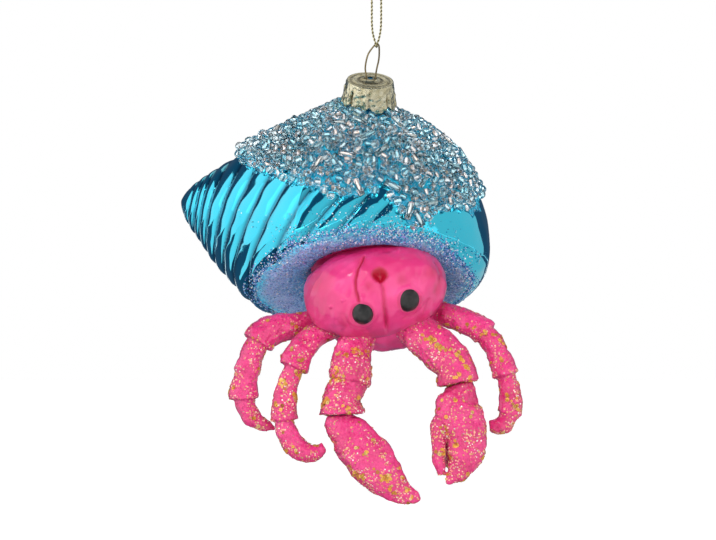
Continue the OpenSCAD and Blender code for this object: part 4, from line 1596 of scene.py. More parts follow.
@dataclass
class OrnamentCap:
    """The thin pressed cap with its folds, tabs, ring and holes."""

    form: CapForm
    sides: int = 320
    skirt_rows: int = 22
    rim_drop: float = 0.2
    crest_at: float = 0.34
    crest_width: float = 0.15
    crest_height: float = 0.16
    dent_width: float = 0.13
    dent_depth: float = 0.5
    notch_depth: float = 1.5
    # Radius ranges of the top that take painted shade: its middle round the vent and its grooves.
    dull: tuple[tuple[float, float], ...] = ((0.0, 1.0), (2.4, 3.2), (4.5, 4.9))

    @property
    def angle(self) -> np.ndarray:
        """Angles of the points in each ring."""
        return np.arange(self.sides) * TURN / self.sides

    def _top(self) -> tuple[list[np.ndarray], list[np.ndarray]]:
        """Give the rings of the pressed top from its middle out, and the painted shade of each point."""
        c = self.form
        profile = [(0.25, c.dome), (0.9, c.dome + 0.02), (1.7, c.dome - 0.05), (2.2, c.dome - 0.2),
                   (2.6, c.dome - 0.42), (3.0, 0.1), (3.4, 0.06), (3.75, 0.2), (4.05, 0.24), (4.35, 0.1),
                   (4.7, -0.02), (5.1, 0.05), (c.top_r - 0.3, 0.1), (c.top_r - 0.08, 0.02),
                   (c.top_r + 0.02, -self.rim_drop)]
        rings, crease = [], []
        for r, h in profile:
            rings.append(np.stack([r * np.cos(self.angle), r * np.sin(self.angle),
                                   np.full(self.sides, h)], axis=-1))
            in_groove = any(low < r < high for low, high in self.dull)
            crease.append(np.full(self.sides, 0.9 if in_groove else 0.0))
        return rings, crease

    def _skirt(self) -> tuple[list[np.ndarray], list[np.ndarray]]:
        """Give the rings of the folded skirt from the rim down, and the painted shade in its dents."""
        c, angle = self.form, self.angle
        phase = angle * c.pleats / TURN
        fold = np.abs(phase - np.round(phase)) * 2.0
        crest = np.exp(-((fold - self.crest_at) / self.crest_width) ** 2)
        dent = np.exp(-(fold / self.dent_width) ** 2) * (0.6 + 0.4 * np.cos(3.0 * angle + 0.4))
        swing = self.crest_height * crest - self.dent_depth * dent
        tab = np.clip(1.0 - fold * 1.4, 0.0, 1.0)
        rings, crease = [], []
        for k in range(1, self.skirt_rows + 1):
            s = k / self.skirt_rows
            deep = smoothstep(0.02, 0.5, np.array(s))
            low = -self.rim_drop - (c.height - 0.35) * s
            notch = smoothstep(0.6, 1.0, np.array(s)) * self.notch_depth * tab
            rad = c.top_r + 0.05 + (c.skirt_r - c.top_r) * s ** 1.1 + swing * deep
            rings.append(np.stack([rad * np.cos(angle), rad * np.sin(angle), low + notch], axis=-1))
            crease.append(np.clip(dent * deep * 1.3, 0, 1))
        return rings, crease

    def build(self) -> bpy.types.Object:
        """Make the cap's sheet with folds, then cut the wire holes and the vent."""
        c = self.form
        top, top_crease = self._top()
        skirt, skirt_crease = self._skirt()
        crease = [*top_crease, *skirt_crease]
        points = np.array([*top, *skirt])
        outer = points[len(top):]
        crinkle = 0.09 * wobble(outer, 1.5, 61) + 0.07 * wobble(outer, 3.0, 62)
        outward = unit(outer * np.array([1.0, 1.0, 0.0]))
        points[len(top):] = outer + crinkle[..., None] * outward
        flat, faces = loft(points, False)
        faces.append(list(range(self.sides)))
        cap = make_piece("crimped_cap", c.axes.place(flat), faces)
        thick = cap.modifiers.new("sheet", "SOLIDIFY")
        thick.thickness = c.sheet * MM
        thick.offset = -1.0
        apply_modifiers(cap)
        outside = np.array(crease).ravel()
        # The inside of the sheet takes full painted shade.
        inside = np.ones(len(cap.data.vertices) - len(outside))
        mark(cap, "crease", np.concatenate([outside, inside]))
        self._drill(cap)
        return cap

    def _drill(self, cap: bpy.types.Object) -> None:
        """Cut the two wire holes and the vent between them.

        Args:
            cap: The cap's sheet.
        """
        c = self.form
        drills = Swarm([(1.0, -1.5), (1.0, 1.5)], 20, False)
        holes = ((-c.hole_gap / 2, 0.0, c.hole_r, c.hole_r), (c.hole_gap / 2, 0.0, c.hole_r, c.hole_r),
                 (0.0, c.vent_y, c.vent_wide, c.vent_deep))
        for x, y, wide, deep in holes:
            drills.add(c.axes.place(np.array([x, y, 0.4])), c.axes.w, 0.0, (wide, deep, 1.0))
        tool = drills.piece("drills")
        cut = cap.modifiers.new("holes", "BOOLEAN")
        cut.operation = "DIFFERENCE"
        cut.object = tool
        cut.solver = "EXACT"
        apply_modifiers(cap)
        bpy.data.objects.remove(tool)


@dataclass
class CordLoop:
    """The metallic cord: two plies twisted together, from the knot round the wire and back."""

    diameter: float = 0.55
    wire_d: float = 0.4
    gap: float = 0.15
    bow_top: float = -13.6
    bend_turn: float = 76.0
    pitch: float = 1.8
    sides: int = 14
    knot_middle: float = 1.5
    knot_turns: float = 3.0
    knot_half: float = 0.72
    knot_r: float = 0.86
    knot_taper: float = 0.12
    knot_squash: float = 0.82
    strand: tuple[Point, ...] = (
        (-0.45, 0, 0.7), (-0.85, 0, -0.4), (-1.1, 0, -1.8), (-1.12, 0, -3.5), (-1.12, 0, -5.2),
        (-1.12, 0, -7), (-1.1, -0.1, -8.6), (-1, -0.3, -10), (-0.8, -0.65, -11.3), (-0.5, -0.95, -12.5))

    @property
    def path(self) -> np.ndarray:
        """The middle line of the whole loop."""
        bend_r = 2 * self.diameter
        low = self.bow_top - self.wire_d / 2 - self.gap - self.diameter / 2
        turn = math.radians(self.bend_turn)
        steps = 10
        bend = []
        for k in range(steps + 1):
            a = math.pi * k / steps
            bend.append((-bend_r * math.cos(a) * math.cos(turn), -bend_r * math.cos(a) * math.sin(turn),
                         low + bend_r * (1 - math.sin(a))))
        back = [(-x, -y, z) for x, y, z in self.strand[::-1]]
        return evenly(curve_through([*self.strand, *bend, *back], 12), 0.09)

    @property
    def length(self) -> float:
        """The length of the cord along its middle line."""
        return float(np.sum(np.linalg.norm(np.diff(self.path, axis=0), axis=1)))

    @property
    def section(self) -> Section:
        """The section of two plies."""
        return Section(self.diameter / 2, self.diameter * 0.2, self.pitch)

    def mark_plies(self, piece: bpy.types.Object, path: np.ndarray) -> None:
        """Store how far each point of a cord stands out of its plies' groove, for painted shade there.

        Args:
            piece: The cord or knot.
            path: Its middle line.
        """
        rule, angle = self.section, np.arange(self.sides) * TURN / self.sides
        radii = np.concatenate([rule.radius(run, angle) for run in runs_along(path)])
        share = (radii - rule.inner) / (rule.outer - rule.inner)
        lit = np.ones(len(piece.data.vertices))
        lit[:len(share)] = np.clip(share * 1.6 - 0.35, 0.0, 1.0)
        mark(piece, "lit_ply", lit)

    def build(self) -> bpy.types.Object:
        """Make the cord."""
        path = self.path
        points, faces = tube(path, self.sides, self.section)
        cord = make_piece("twisted_cord", points, faces)
        self.mark_plies(cord, path)
        return cord

    def build_knot(self) -> bpy.types.Object:
        """Make the knot: three turns pulled tight round both strands."""
        steps = 150
        u = np.linspace(0.0, 1.0, steps)
        angle = TURN * self.knot_turns * u + 0.6
        radius = self.knot_r - self.knot_taper * np.cos(TURN * u)
        z = self.knot_middle + self.knot_half * (2 * u - 1) + 0.12 * np.sin(2.0 * angle)
        coil = np.stack([radius * np.cos(angle), self.knot_squash * radius * np.sin(angle), z], axis=-1)
        points, faces = tube(coil, self.sides, self.section)
        strands = np.array([(0, 0, 0.45), (0, 0, 0.8), (0, 0, 2.2), (0, 0, 2.6)], dtype=float)
        core, more = tube(strands, self.sides, Section(0.72, 0.62, 9.0))
        offset = len(points)
        knot = make_piece("cord_knot_turns", np.concatenate([points, core]),
                          [*faces, *[[i + offset for i in f] for f in more]])
        self.mark_plies(knot, coil)
        return knot


# --- Crab ---


# The picture's scale in millimetres to a pixel, and the pixel where the frame's origin lies.
PIXEL = 0.24
ORIGIN_X = 376.5
ORIGIN_Y = -12.25


@dataclass(frozen=True)
class Fold:
    """A fold of the head along a line of the picture's pixels, pressed in; deep is its painted shade."""

    line: tuple[tuple[float, float], ...]
    width: float
    depth: float
    deep: float


@dataclass(frozen=True)
class Spot:
    """An oval place of the head, in the picture's pixels, that is raised or darkened with painted shade.
    """

    x: float
    y: float
    wide: float
    high: float
    rise: float = 0.0
    deep: float = 0.0

    def near(self, seen: np.ndarray) -> np.ndarray:
        """Give a soft mask that is 1 in the spot's middle."""
        across, down = (seen[:, 0] - self.x) / self.wide, (seen[:, 1] - self.y) / self.high
        return np.exp(-across ** 2 - down ** 2)

    def reach(self, seen: np.ndarray) -> np.ndarray:
        """Give the distance from the spot's middle, 1 at the edge of a form near a diamond."""
        across, down = (seen[:, 0] - self.x) / self.wide, (seen[:, 1] - self.y) / self.high
        return (np.abs(across) ** 1.6 + np.abs(down) ** 1.6) ** 0.625


@dataclass
class CrabHead:
    """The domed head with its folds, its dimple and its brow."""

    middle: Point
    width: float = 34.0
    depth: float = 26.0
    height: float = 22.0
    roll: float = 10.0
    fullness: float = 2.25
    rows: int = 220
    columns: int = 380
    folds: tuple[Fold, ...] = (
        Fold(((364, 257), (358, 268), (355, 279), (355.5, 290), (359, 301)), 1.4, 0.65, 0.95),
        Fold(((380, 279), (383, 290), (384, 306), (386.5, 326)), 1.9, 0.60, 0.6),
        Fold(((386, 318), (387, 330)), 2.0, 0.35, 0.3),
        Fold(((428, 300), (424, 314), (414, 326), (398, 333)), 2.2, 0.25, 0.25),
        Fold(((437, 262), (440, 276), (436, 292)), 3.0, 0.30, 0.35),
        Fold(((404, 318), (416, 314), (424, 304)), 1.6, 0.12, 0.15),
        Fold(((344, 314), (352, 328), (366, 333)), 1.8, 0.15, 0.15),
    )
    # The dimple sinks in, and its deep value paints it dark red with no coat.
    dimple: Spot = Spot(379.5, 274.8, 9.0, 8.6, -1.7, 1.0)
    dimple_slope: tuple[float, float] = (0.1, 1.05)
    dimple_shade: tuple[float, float] = (0.7, 1.3)
    lip: Spot = Spot(368, 282, 8, 20, 0.35)
    lip_edge: tuple[float, float] = (355.0, 360.0)
    # Each socket's deep value paints a ring of shade just inside its rim.
    sockets: tuple[Spot, ...] = (
        Spot(362, 313, 12.5, 12.5, 0.22, 0.35), Spot(408, 300, 12.5, 12.5, 0.22, 0.35))
    socket_rim: float = 2.2
    socket_inset: float = 1.5
    socket_line: float = 1.6
    # Spots with a deep value are painted shade: over the head's middle and left side, along its top and
    # bottom edges, and in patches.
    spots: tuple[Spot, ...] = (
        Spot(385, 249, 9, 4, -0.30, 0.3), Spot(386, 266, 34, 22, 0.0, 0.26),
        Spot(364.5, 258, 2.6, 2.6, 0.34), Spot(398.5, 250.5, 2.6, 2.6, 0.34),
        Spot(331, 306, 1.6, 1.6, 0.34), Spot(343, 300, 1.4, 1.4, 0.34),
        Spot(401, 280, 6, 6, 0.0, 0.45), Spot(430, 272, 6, 7, 0.0, 0.45), Spot(369, 285, 5, 5, 0.0, 0.45),
        Spot(420, 318, 8, 8, 0.0, 0.4), Spot(345, 322, 8, 8, 0.0, 0.4), Spot(362, 262, 7, 8, 0.0, 0.5),
        Spot(314, 285, 16, 24, 0.0, 0.35), Spot(386, 243, 200, 9, 0.0, 0.4),
        Spot(386, 337, 200, 9, 0.0, 0.4),
    )

    def build(self) -> bpy.types.Object:
        """Make the head as one closed form."""
        half = np.array([self.width, self.depth, self.height]) / 2
        q = ball(self.rows, self.columns, 0.006)
        q = q / np.sum(np.abs(q) ** self.fullness, axis=-1, keepdims=True) ** (1.0 / self.fullness)
        turn = math.radians(self.roll)
        spin = np.array([[math.cos(turn), 0, -math.sin(turn)], [0, 1, 0],
                         [math.sin(turn), 0, math.cos(turn)]])
        points = (q * half) @ spin.T + np.array(self.middle)
        ways = unit(q / half) @ spin.T
        flat, out = points.reshape(-1, 3), ways.reshape(-1, 3)
        rise, deep = self._relief(flat, out)
        lumps = 0.2 * wobble(flat, 9.0, 71) + 0.055 * wobble(flat, 2.6, 72)
        flat = flat + (rise + lumps)[:, None] * out
        _, faces = loft(points, True)
        head = make_piece("clay_head", flat, faces)
        # Painted shade for the clay material, in the folds, the socket rings, the spots and the dimple.
        mark(head, "deep", deep)
        return head

    def _relief(self, points: np.ndarray, out: np.ndarray) -> tuple[np.ndarray, np.ndarray]:
        """Give the height of the folds and the painted shade, on the front of the head.

        Args:
            points: Places on the head.
            out: Ways out of it.

        Returns:
            Heights, and painted shade from 0 to 1.
        """
        seen = np.stack([points[:, 0] / PIXEL + ORIGIN_X, -points[:, 2] / PIXEL + ORIGIN_Y], axis=-1)
        rise, deep = np.zeros(len(points)), np.zeros(len(points))
        for fold in self.folds:
            near = np.exp(-(distance_to_line(seen, fold.line) / fold.width) ** 2)
            rise -= fold.depth * near
            deep = np.maximum(deep, fold.deep * near)
        for spot in self.spots:
            near = spot.near(seen)
            rise += spot.rise * near
            deep = np.maximum(deep, spot.deep * near)
        dimple = self.dimple.reach(seen)
        rise += self.dimple.rise * (1.0 - smoothstep(*self.dimple_slope, dimple))
        deep = np.maximum(deep, self.dimple.deep * (1.0 - smoothstep(*self.dimple_shade, dimple)))
        rise += self.lip.rise * self.lip.near(seen) * smoothstep(*self.lip_edge, seen[:, 0])
        for socket in self.sockets:
            away = np.hypot(seen[:, 0] - socket.x, seen[:, 1] - socket.y) - socket.wide
            rise += socket.rise * np.exp(-(away / self.socket_rim) ** 2)
            line = np.exp(-((away + self.socket_inset) / self.socket_line) ** 2)
            deep = np.maximum(deep, socket.deep * line)
        front = smoothstep(0.05, 0.4, -out[:, 1])
        return rise * front, np.clip(deep * front, 0.0, 1.0)


@dataclass(frozen=True)
class EyeBead:
    """How an eye bead grows and moves from its node's box."""

    grown: Point = (1.05, 1.0, 1.14)
    moved: Point = (0.2, -0.25, 0.35)

    def build(self, node: str) -> bpy.types.Object:
        """Make a smooth bead, a little taller than wide, where the eye's node is.

        Args:
            node: Name of the eye's node.

        Returns:
            The piece.
        """
        low, high = (np.array(corner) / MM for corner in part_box(node))
        middle, half = (low + high) / 2, (high - low) / 2
        rings = ball(48, 64, 0.02) * half * np.array(self.grown)
        points, faces = loft(rings + middle + np.array(self.moved), True)
        return make_piece(node + "_bead", points, faces)


@dataclass(frozen=True)
class ClayWork:
    """How a plain solid of the crab is reworked into hand-pressed clay."""

    node: str
    voxel: float = 0.32
    rounds: int = 5
    lumps: float = 0.18
    seed: int = 1
    webs: tuple[tuple[Point, Point], ...] = ()


class ClayShop:
    """Turns the crab's plain solids into clay pieces and strews flakes on them."""

    def __init__(self, nodes: dict[str, bpy.types.Object]) -> None:
        """Take the frame's nodes."""
        self.nodes = nodes
        self.gold = Swarm([(0.12, -0.035), (0.5, -0.035), (0.5, 0.035), (0.12, 0.035)], 6, True)
        self.pearl = Swarm([(0.21, -0.025), (0.21, 0.025)], 6, False)
        self.resin = Swarm([(0.55, -0.3), (0.95, -0.22), (1.0, 0.0), (0.95, 0.22), (0.55, 0.3)], 40, False)
        self.random = random.Random(83)

    def press(self, work: ClayWork) -> bpy.types.Object:
        """Make one clay piece from a node's solid.

        Args:
            work: The node and how it is reworked.

        Returns:
            The piece, which stands where the node is.
        """
        source = self.nodes[work.node]
        bpy.context.view_layer.update()
        mesh = source.data.copy()
        mesh.transform(source.matrix_world)
        for middle, half in work.webs:
            self._add_web(mesh, middle, half)
        piece = bpy.data.objects.new("clay_" + work.node, mesh)
        bpy.context.scene.collection.objects.link(piece)
        weld = piece.modifiers.new("weld", "WELD")
        weld.merge_threshold = 1e-6
        remesh = piece.modifiers.new("voxels", "REMESH")
        remesh.mode = "VOXEL"
        remesh.voxel_size = work.voxel * MM
        soft = piece.modifiers.new("thumb", "SMOOTH")
        soft.factor = 0.5
        soft.iterations = work.rounds
        apply_modifiers(piece)
        points, out = points_of(piece.data), normals_of(piece.data)
        lumps = work.lumps * wobble(points, 5.0, work.seed)
        lumps += 0.35 * work.lumps * wobble(points, 1.8, work.seed + 50)
        move_points(piece.data, points + lumps[:, None] * out)
        return piece

    @staticmethod
    def _add_web(mesh: bpy.types.Mesh, middle: Point, half: Point) -> None:
        """Add an oval lump of clay to a mesh, before it is remeshed into one form.

        Args:
            mesh: The mesh.
            middle: The lump's middle.
            half: Its half sizes.
        """
        form = bmesh.new()
        form.from_mesh(mesh)
        place = Matrix.Translation(Vector(middle) * MM) @ Matrix.Diagonal((*(Vector(half) * MM), 1.0))
        bmesh.ops.create_icosphere(form, subdivisions=4, radius=1.0, matrix=place)
        form.to_mesh(mesh)
        form.free()

    def strew(self, piece: bpy.types.Object, gold: float, pearl: float) -> None:
        """Lay gold and pearl flakes on a piece, in drifts and thicker towards its foot.

        Args:
            piece: The clay piece.
            gold: Gold flakes to each square millimetre where they lie thickest.
            pearl: Pearl flakes to each square millimetre where they lie thickest.
        """
        mesh = piece.data
        n = len(mesh.polygons)
        area, centre, way = np.empty(n), np.empty(n * 3), np.empty(n * 3)
        mesh.polygons.foreach_get("area", area)
        mesh.polygons.foreach_get("center", centre)
        mesh.polygons.foreach_get("normal", way)
        area = area / MM / MM
        centre, way = centre.reshape(-1, 3) / MM, way.reshape(-1, 3)
        low, high = centre[:, 2].min(), centre[:, 2].max()
        foot = 1.0 - smoothstep(0.45, 1.0, (centre[:, 2] - low) / (high - low))
        gold_drift = smoothstep(0.35, 1.1, wobble(centre, 4.0, 91)) * (0.15 + 0.85 * foot)
        pearl_drift = smoothstep(-0.9, 0.7, wobble(centre, 5.5, 92)) * (0.08 + 0.92 * foot)
        drifts = ((self.gold, gold, gold_drift, 0.07), (self.pearl, pearl, pearl_drift, 0.04))
        for flakes, per_area, thick, lift in drifts:
            weight = area * thick
            reach = np.cumsum(weight)
            for _ in range(int(reach[-1] * per_area)):
                i = min(int(np.searchsorted(reach, self.random.random() * reach[-1])), n - 1)
                lean = np.array([self.random.gauss(0, 0.14) for _ in range(3)])
                flakes.add(centre[i] + way[i] * lift, unit(way[i] + lean), self.random.random(),
                           self.random.uniform(0.7, 1.1))

    def fill_crack(self, claw: bpy.types.Object) -> None:
        """Put dark glue on top of a claw, in the crack under its cuff.

        Args:
            claw: The claw's piece.
        """
        points = points_of(claw.data)
        highest = points[:, 2].max()
        top = points[points[:, 2] > highest - 0.9]
        low, high = top.min(axis=0), top.max(axis=0)
        middle = (low + high) / 2
        size = float(np.min(high[:2] - low[:2])) / 2
        place = np.array([middle[0], middle[1], highest + 0.05])
        self.resin.add(place, np.array([0.0, 0.0, 1.0]), 0.5, (size, size, 1.0))


# --- Studio ---


@dataclass(frozen=True)
class Card:
    """A flat board of the studio that looks at the ornament, seen only in its mirrors.

    Azimuth 0 is where the camera stands, and 90 is at the picture's right.
    """

    name: str
    azimuth: float
    elevation: float
    distance: float
    width: float
    height: float
    colour: Colour
    strength: float


@dataclass(frozen=True)
class LowBoard:
    """A level board near the floor, seen only in the ornament's mirrors. Strength 0 is the gloom."""

    name: str
    middle: Point
    width: float
    depth: float
    strength: float


@dataclass(frozen=True)
class Lamp:
    """A soft square lamp that looks at the ornament."""

    name: str
    place: Point
    size: float
    power: float


@dataclass
class Studio:
    """Camera, light, floor and boards round the ornament."""

    aim: Point = (-4.44, 0.0, -67.74)
    heart: Point = (-5.0, 0.0, -60.0)
    distance: float = 1500.0
    view_width: float = 171.84
    floor_z: float = -165.0
    gloom: Colour = (0.045, 0.08, 0.13)
    room_r: float = 1350.0
    cards: tuple[Card, ...] = (
        Card("left_panel", -78.0, 2.0, 800.0, 84.0, 92.0, (1.0, 1.0, 1.0), 1.12),
        Card("left_core", -70.0, 18.0, 780.0, 26.0, 40.0, (1.0, 1.0, 1.0), 1.5),
        Card("front_tone", 12.0, 0.0, 1100.0, 100.0, 96.0, (1.0, 1.0, 1.0), 0.74),
        Card("front_dark", 4.0, 36.0, 820.0, 44.0, 24.0, (0.35, 0.6, 1.0), 0.13),
        Card("front_post", -26.0, 18.0, 810.0, 7.0, 34.0, (0.35, 0.6, 1.0), 0.13),
        Card("right_tone", 90.0, 4.0, 1000.0, 72.0, 88.0, (1.0, 1.0, 1.0), 0.66),
        Card("right_strip", 62.0, 12.0, 800.0, 12.0, 60.0, (1.0, 1.0, 1.0), 1.1),
        Card("left_spark", -38.0, 46.0, 760.0, 5.0, 5.0, (1.0, 1.0, 1.0), 9.0),
        Card("right_spark", 34.0, 52.0, 760.0, 4.0, 4.0, (1.0, 1.0, 1.0), 9.0),
        Card("rear_top", 180.0, 56.0, 800.0, 46.0, 34.0, (1.0, 0.98, 0.92), 0.75),
    )
    low_boards: tuple[LowBoard, ...] = (
        LowBoard("low_back", (0.0, 420.0, -163.0), 1700.0, 880.0, 0.0),
        LowBoard("low_under", (-40.0, -60.0, -163.0), 200.0, 120.0, 0.0),
        LowBoard("low_left", (-470.0, -250.0, -162.0), 700.0, 700.0, 1.0),
        LowBoard("low_front", (345.0, -440.0, -161.0), 920.0, 800.0, 0.70),
        LowBoard("low_right", (460.0, 130.0, -161.0), 800.0, 340.0, 0.60),
    )
    lamps: tuple[Lamp, ...] = (
        Lamp("key_light", (-350.0, -900.0, 550.0), 900.0, 11.0),
        Lamp("fill_light", (500.0, -800.0, 100.0), 700.0, 4.0),
        Lamp("back_light", (100.0, 800.0, 450.0), 700.0, 6.0),
    )
    world_soft: float = 0.42
    floor_glow: float = 0.62
    floor_half: float = 4000.0

    def build(self) -> None:
        """Set up camera, world, lamps, floor and boards."""
        scene = bpy.context.scene
        scene.view_settings.view_transform = "Standard"
        lens = bpy.data.cameras.new("camera")
        lens.sensor_width = 36.0
        lens.lens = lens.sensor_width * self.distance / self.view_width
        lens.clip_start, lens.clip_end = 0.05, 50.0
        camera = bpy.data.objects.new("camera", lens)
        camera.location = Vector((self.aim[0], self.aim[1] - self.distance, self.aim[2])) * MM
        camera.rotation_euler = (math.pi / 2, 0.0, 0.0)
        scene.collection.objects.link(camera)
        scene.camera = camera
        self._world(scene)
        self._floor()
        self._room()
        for card in self.cards:
            self._hang(card)
        for low in self.low_boards:
            corners = self._corners(low.width / 2, low.depth / 2) + np.array(low.middle)
            board = self._board(low.name, corners)
            tone = (1.0, 1.0, 1.0) if low.strength else self.gloom
            self._only_mirrored(board, tone, low.strength or 1.0)
        for lamp in self.lamps:
            self._light(lamp)

    @staticmethod
    def _corners(w: float, h: float) -> np.ndarray:
        """Give the corners of a level board of half sizes w and h."""
        return np.array([(-w, -h, 0.0), (w, -h, 0.0), (w, h, 0.0), (-w, h, 0.0)])

    @staticmethod
    def _board(name: str, corners: np.ndarray) -> bpy.types.Object:
        """Make a flat board from its four corners."""
        return make_piece(name, corners, [(0, 1, 2, 3)], False)

    def _world(self, scene: bpy.types.Scene) -> None:
        """Make the surroundings white to the camera, mirrors and glass, and softly lit to the rest."""
        world = bpy.data.worlds.new("studio")
        scene.world = world
        world.use_nodes = True
        g = Graph(world.node_tree)
        back = world.node_tree.nodes["Background"]
        back.inputs["Color"].default_value = (1.0, 1.0, 1.0, 1.0)
        g.join(g.between(g.seen_by_eye(), self.world_soft, 1.0), back.inputs["Strength"])

    def _floor(self) -> None:
        """Make the pale floor, which looks white and keeps the ornament's shadow."""
        corners = self._corners(self.floor_half, self.floor_half) + np.array([0.0, 0.0, self.floor_z])
        floor = self._board("floor", corners)
        f = Finish("floor_white", Coat(roughness=0.8))
        g = f.g
        speck = g.noise(40.0, 2.0)
        f.set("Base Color", g.ramp(speck, [(0.0, (0.86, 0.86, 0.86)), (1.0, (0.90, 0.90, 0.90))]))
        f.shader.inputs["Emission Color"].default_value = (1.0, 1.0, 1.0, 1.0)
        glow = g.math("MULTIPLY", g.seen_by_eye(), self.floor_glow)
        g.join(glow, f.shader.inputs["Emission Strength"])
        f.wear(floor)

    def _room(self) -> None:
        """Close the mirrors' view with a dim room."""
        mesh = bmesh.new()
        bmesh.ops.create_uvsphere(mesh, u_segments=32, v_segments=16, radius=self.room_r * MM)
        data = bpy.data.meshes.new("dim_room")
        mesh.to_mesh(data)
        mesh.free()
        room = bpy.data.objects.new("dim_room", data)
        bpy.context.scene.collection.objects.link(room)
        self._only_mirrored(room, self.gloom, 1.0)

    def _hang(self, card: Card) -> None:
        """Hang one board at its direction and turn it to the ornament.

        Args:
            card: The board.
        """
        az, el = math.radians(card.azimuth), math.radians(card.elevation)
        way = Vector((math.sin(az) * math.cos(el), -math.cos(az) * math.cos(el), math.sin(el)))
        turn = (-way).to_track_quat("Z", "Y").to_matrix()
        w = card.distance * math.tan(math.radians(card.width) / 2)
        h = card.distance * math.tan(math.radians(card.height) / 2)
        middle = Vector(self.heart) + way * card.distance
        corners = [tuple(turn @ Vector(p) + middle) for p in self._corners(w, h)]
        self._only_mirrored(self._board(card.name, np.array(corners)), card.colour, card.strength)

    @staticmethod
    def _only_mirrored(board: bpy.types.Object, colour: Colour, strength: float) -> None:
        """Make a board glow in mirrors and hide it from every other ray.

        Args:
            board: The board.
            colour: Its colour.
            strength: How bright it glows.
        """
        material = bpy.data.materials.new(board.name)
        material.use_nodes = True
        g = Graph(material.node_tree)
        material.node_tree.nodes.remove(material.node_tree.nodes["Principled BSDF"])
        glow = g.add("Emission")
        glow.inputs["Color"].default_value = (*colour, 1.0)
        glow.inputs["Strength"].default_value = strength
        g.join(glow.outputs[0], material.node_tree.nodes["Material Output"].inputs["Surface"])
        board.data.materials.append(material)
        board.visible_camera = False
        board.visible_diffuse = False
        board.visible_shadow = False
        board.visible_transmission = False
        board.visible_volume_scatter = False

    def _light(self, lamp: Lamp) -> None:
        """Hang a lamp, turn it to the ornament and keep it out of the mirrors.

        Args:
            lamp: The lamp.
        """
        light = bpy.data.lights.new(lamp.name, "AREA")
        light.shape = "SQUARE"
        light.size = lamp.size * MM
        light.energy = lamp.power
        hung = bpy.data.objects.new(lamp.name, light)
        hung.location = Vector(lamp.place) * MM
        hung.rotation_euler = (Vector(self.aim) - Vector(lamp.place)).to_track_quat("-Z", "Y").to_euler()
        hung.visible_glossy = False
        bpy.context.scene.collection.objects.link(hung)


# --- Assembly ---


@dataclass(frozen=True)
class Seat:
    """Where a finished piece belongs."""

    body: Body
    slot: Slot
    replaced: tuple[str, ...] = ()


def settle(piece: bpy.types.Object, finish: Finish, seat: Seat) -> None:
    """Finish a piece and let it ride on its body and stand for its nodes, which it hides.

    Args:
        piece: The piece.
        finish: Its finish.
        seat: Its body, slot and nodes.
    """
    finish.wear(piece)
    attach(piece, seat.body.value)
    if seat.replaced:
        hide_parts(*seat.replaced)
    LOG.info("%s rides on %s", piece.name, seat.body.value)


def dress_hanger(nodes: dict[str, bpy.types.Object], cap_form: CapForm) -> None:
    """Make the cord, the knot, the wire and the cap.

    Args:
        nodes: The frame's objects by name.
        cap_form: Form of the cap.
    """
    cord_finish = cord_gold()
    loop = CordLoop()
    cord = loop.build()
    knot = loop.build_knot()
    settle(knot, cord_finish, Seat(Body.HANGER, Slot.CORD, ("cord_knot",)))
    settle(cord, cord_finish, Seat(Body.HANGER, Slot.CORD, ("hanging_cord",)))
    wire_gold().wear(nodes["bail_wire"])
    cap = OrnamentCap(cap_form).build()
    settle(cap, cap_gold(), Seat(Body.CAP, Slot.CAP, ("ornament_cap",)))


def dress_shell(shell: ShellForm, cap_form: CapForm) -> None:
    """Make the glass, the mouth's band and the bead crust.

    Args:
        shell: Form of the shell.
        cap_form: Form of the cap.
    """
    glass = GlassShell(shell).build(cap_form)
    settle(glass, lacquered_glass(), Seat(Body.ORNAMENT, Slot.GLASS, ("glass_shell",)))
    rim = MouthBand(shell)
    band = rim.build()
    settle(band, band_glitter(), Seat(Body.ORNAMENT, Slot.BAND, ("mouth_glitter_band",)))
    sparkles = rim.build_sparkles()
    settle(sparkles, sparkle_flakes(), Seat(Body.ORNAMENT, Slot.BAND))
    crust = Crust(shell, cap_form)
    glue = crust.build_glue()
    settle(glue, glue_glitter(), Seat(Body.ORNAMENT, Slot.GLUE, ("bead_adhesive",)))
    clear, silver = bead_glass(), bead_lining()
    tubes, tube_linings = crust.build_tubes()
    seeds, seed_linings = crust.build_seeds()
    settle(tubes, clear, Seat(Body.ORNAMENT, Slot.BEAD, ("bugle_beads",)))
    settle(tube_linings, silver, Seat(Body.ORNAMENT, Slot.BEAD))
    settle(seeds, clear, Seat(Body.ORNAMENT, Slot.BEAD, ("seed_beads",)))
    settle(seed_linings, silver, Seat(Body.ORNAMENT, Slot.BEAD))
    dust = crust.build_dust()
    settle(dust, dust_flakes(), Seat(Body.ORNAMENT, Slot.BAND))


@dataclass(frozen=True)
class CrabPlace:
    """Where the crab sits in the shell's mouth, and the web of clay in its right claw."""

    body_off: Point = (1.0, -0.4, -7.8)
    head_off: Point = (-0.8, -7.5, 4.1)
    web_x: float = 17.0
    web_before_head: float = 1.6
    web_z: float = -109.8
    web_half: Point = (1.5, 2.6, 4.6)


@dataclass(frozen=True)
class Limb:
    """A limb of the crab and how thick its gold and pearl flakes lie."""

    work: ClayWork
    gold: float
    pearl: float


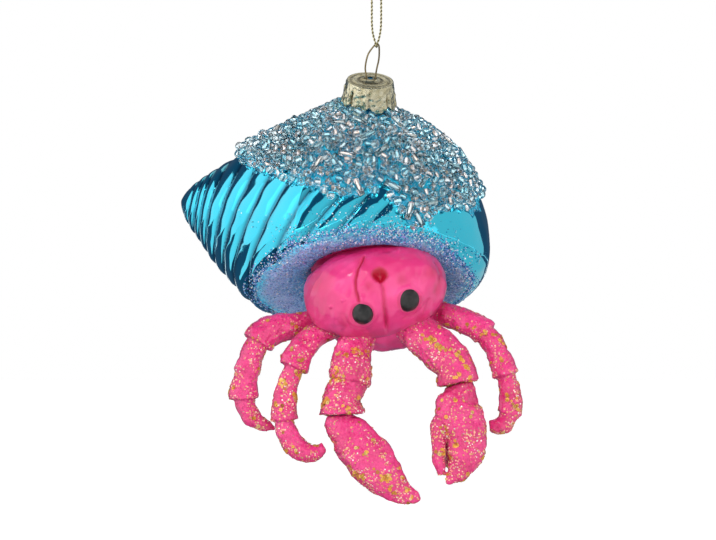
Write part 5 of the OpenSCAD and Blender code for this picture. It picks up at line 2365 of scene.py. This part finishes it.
def dress_crab(nodes: dict[str, bpy.types.Object], shell: ShellForm, seat: CrabPlace) -> None:
    """Make the head, the body, the limbs and the claws, and lay the flakes.

    Args:
        nodes: The frame's objects by name.
        shell: Form of the shell that the crab sits in.
        seat: Where the crab sits in it.
    """
    well = shell.in_mouth(np.array(0.0), 0.0, 0.0)
    middle = well + np.array(seat.body_off) + np.array(seat.head_off)
    plain = clay("clay_plain", ((0.58, 0.012, 0.135), (0.66, 0.028, 0.185), (0.76, 0.065, 0.27)), 0.0)
    sparkling = clay("clay_sparkling", ((0.52, 0.010, 0.11), (0.63, 0.022, 0.165),
                                        (0.74, 0.045, 0.235)), 0.18)
    head = CrabHead((float(middle[0]), float(middle[1]), float(middle[2]))).build()
    plain.wear(nodes["mouth_glue"])
    settle(head, plain, Seat(Body.ORNAMENT, Slot.CLAY, ("crab_head",)))
    shop = ClayShop(nodes)
    body = shop.press(ClayWork("crab_body", 0.5, 3, 0.2, 2))
    settle(body, plain, Seat(Body.ORNAMENT, Slot.CLAY, ("crab_body",)))
    web = (((seat.web_x, float(middle[1]) - seat.web_before_head, seat.web_z), seat.web_half),)
    limbs = (
        Limb(ClayWork("left_arm", seed=3), 1.5, 2.1), Limb(ClayWork("left_claw", seed=4), 1.7, 2.7),
        Limb(ClayWork("right_arm", seed=5), 1.5, 1.9),
        Limb(ClayWork("right_claw", voxel=0.26, rounds=4, seed=6, webs=web), 1.3, 2.6),
        Limb(ClayWork("left_outer_leg", seed=7), 1.4, 2.4),
        Limb(ClayWork("left_inner_leg", seed=8), 1.5, 2.1), Limb(ClayWork("right_leg", seed=9), 1.4, 2.4),
    )
    for limb in limbs:
        piece = shop.press(limb.work)
        settle(piece, sparkling, Seat(Body.ORNAMENT, Slot.CLAY, (limb.work.node,)))
        shop.strew(piece, limb.gold, limb.pearl)
        if limb.work.node.endswith("claw"):
            shop.fill_crack(piece)
    for swarm, name, finish in ((shop.gold, "gold_flakes", gold_flakes()),
                                (shop.pearl, "pearl_flakes", pearl_flakes()),
                                (shop.resin, "crack_glue", crack_resin())):
        strewn = swarm.piece(name, False)
        settle(strewn, finish, Seat(Body.ORNAMENT, Slot.CLAY))
        LOG.info("%s has %d copies", name, len(swarm.points))
    black = eye_black()
    for side in ("left_eye", "right_eye"):
        eye = EyeBead().build(side)
        settle(eye, black, Seat(Body.ORNAMENT, Slot.EYE, (side,)))


def main() -> None:
    """Load the frame and dress the ornament."""
    logging.basicConfig(level=logging.INFO, format="%(name)s: %(message)s")
    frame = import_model()
    nodes = frame["nodes"]
    Studio().build()
    cap_form, shell = CapForm(), ShellForm()
    dress_hanger(nodes, cap_form)
    dress_shell(shell, cap_form)
    dress_crab(nodes, shell, CrabPlace())


if __name__ == "__main__":
    main()
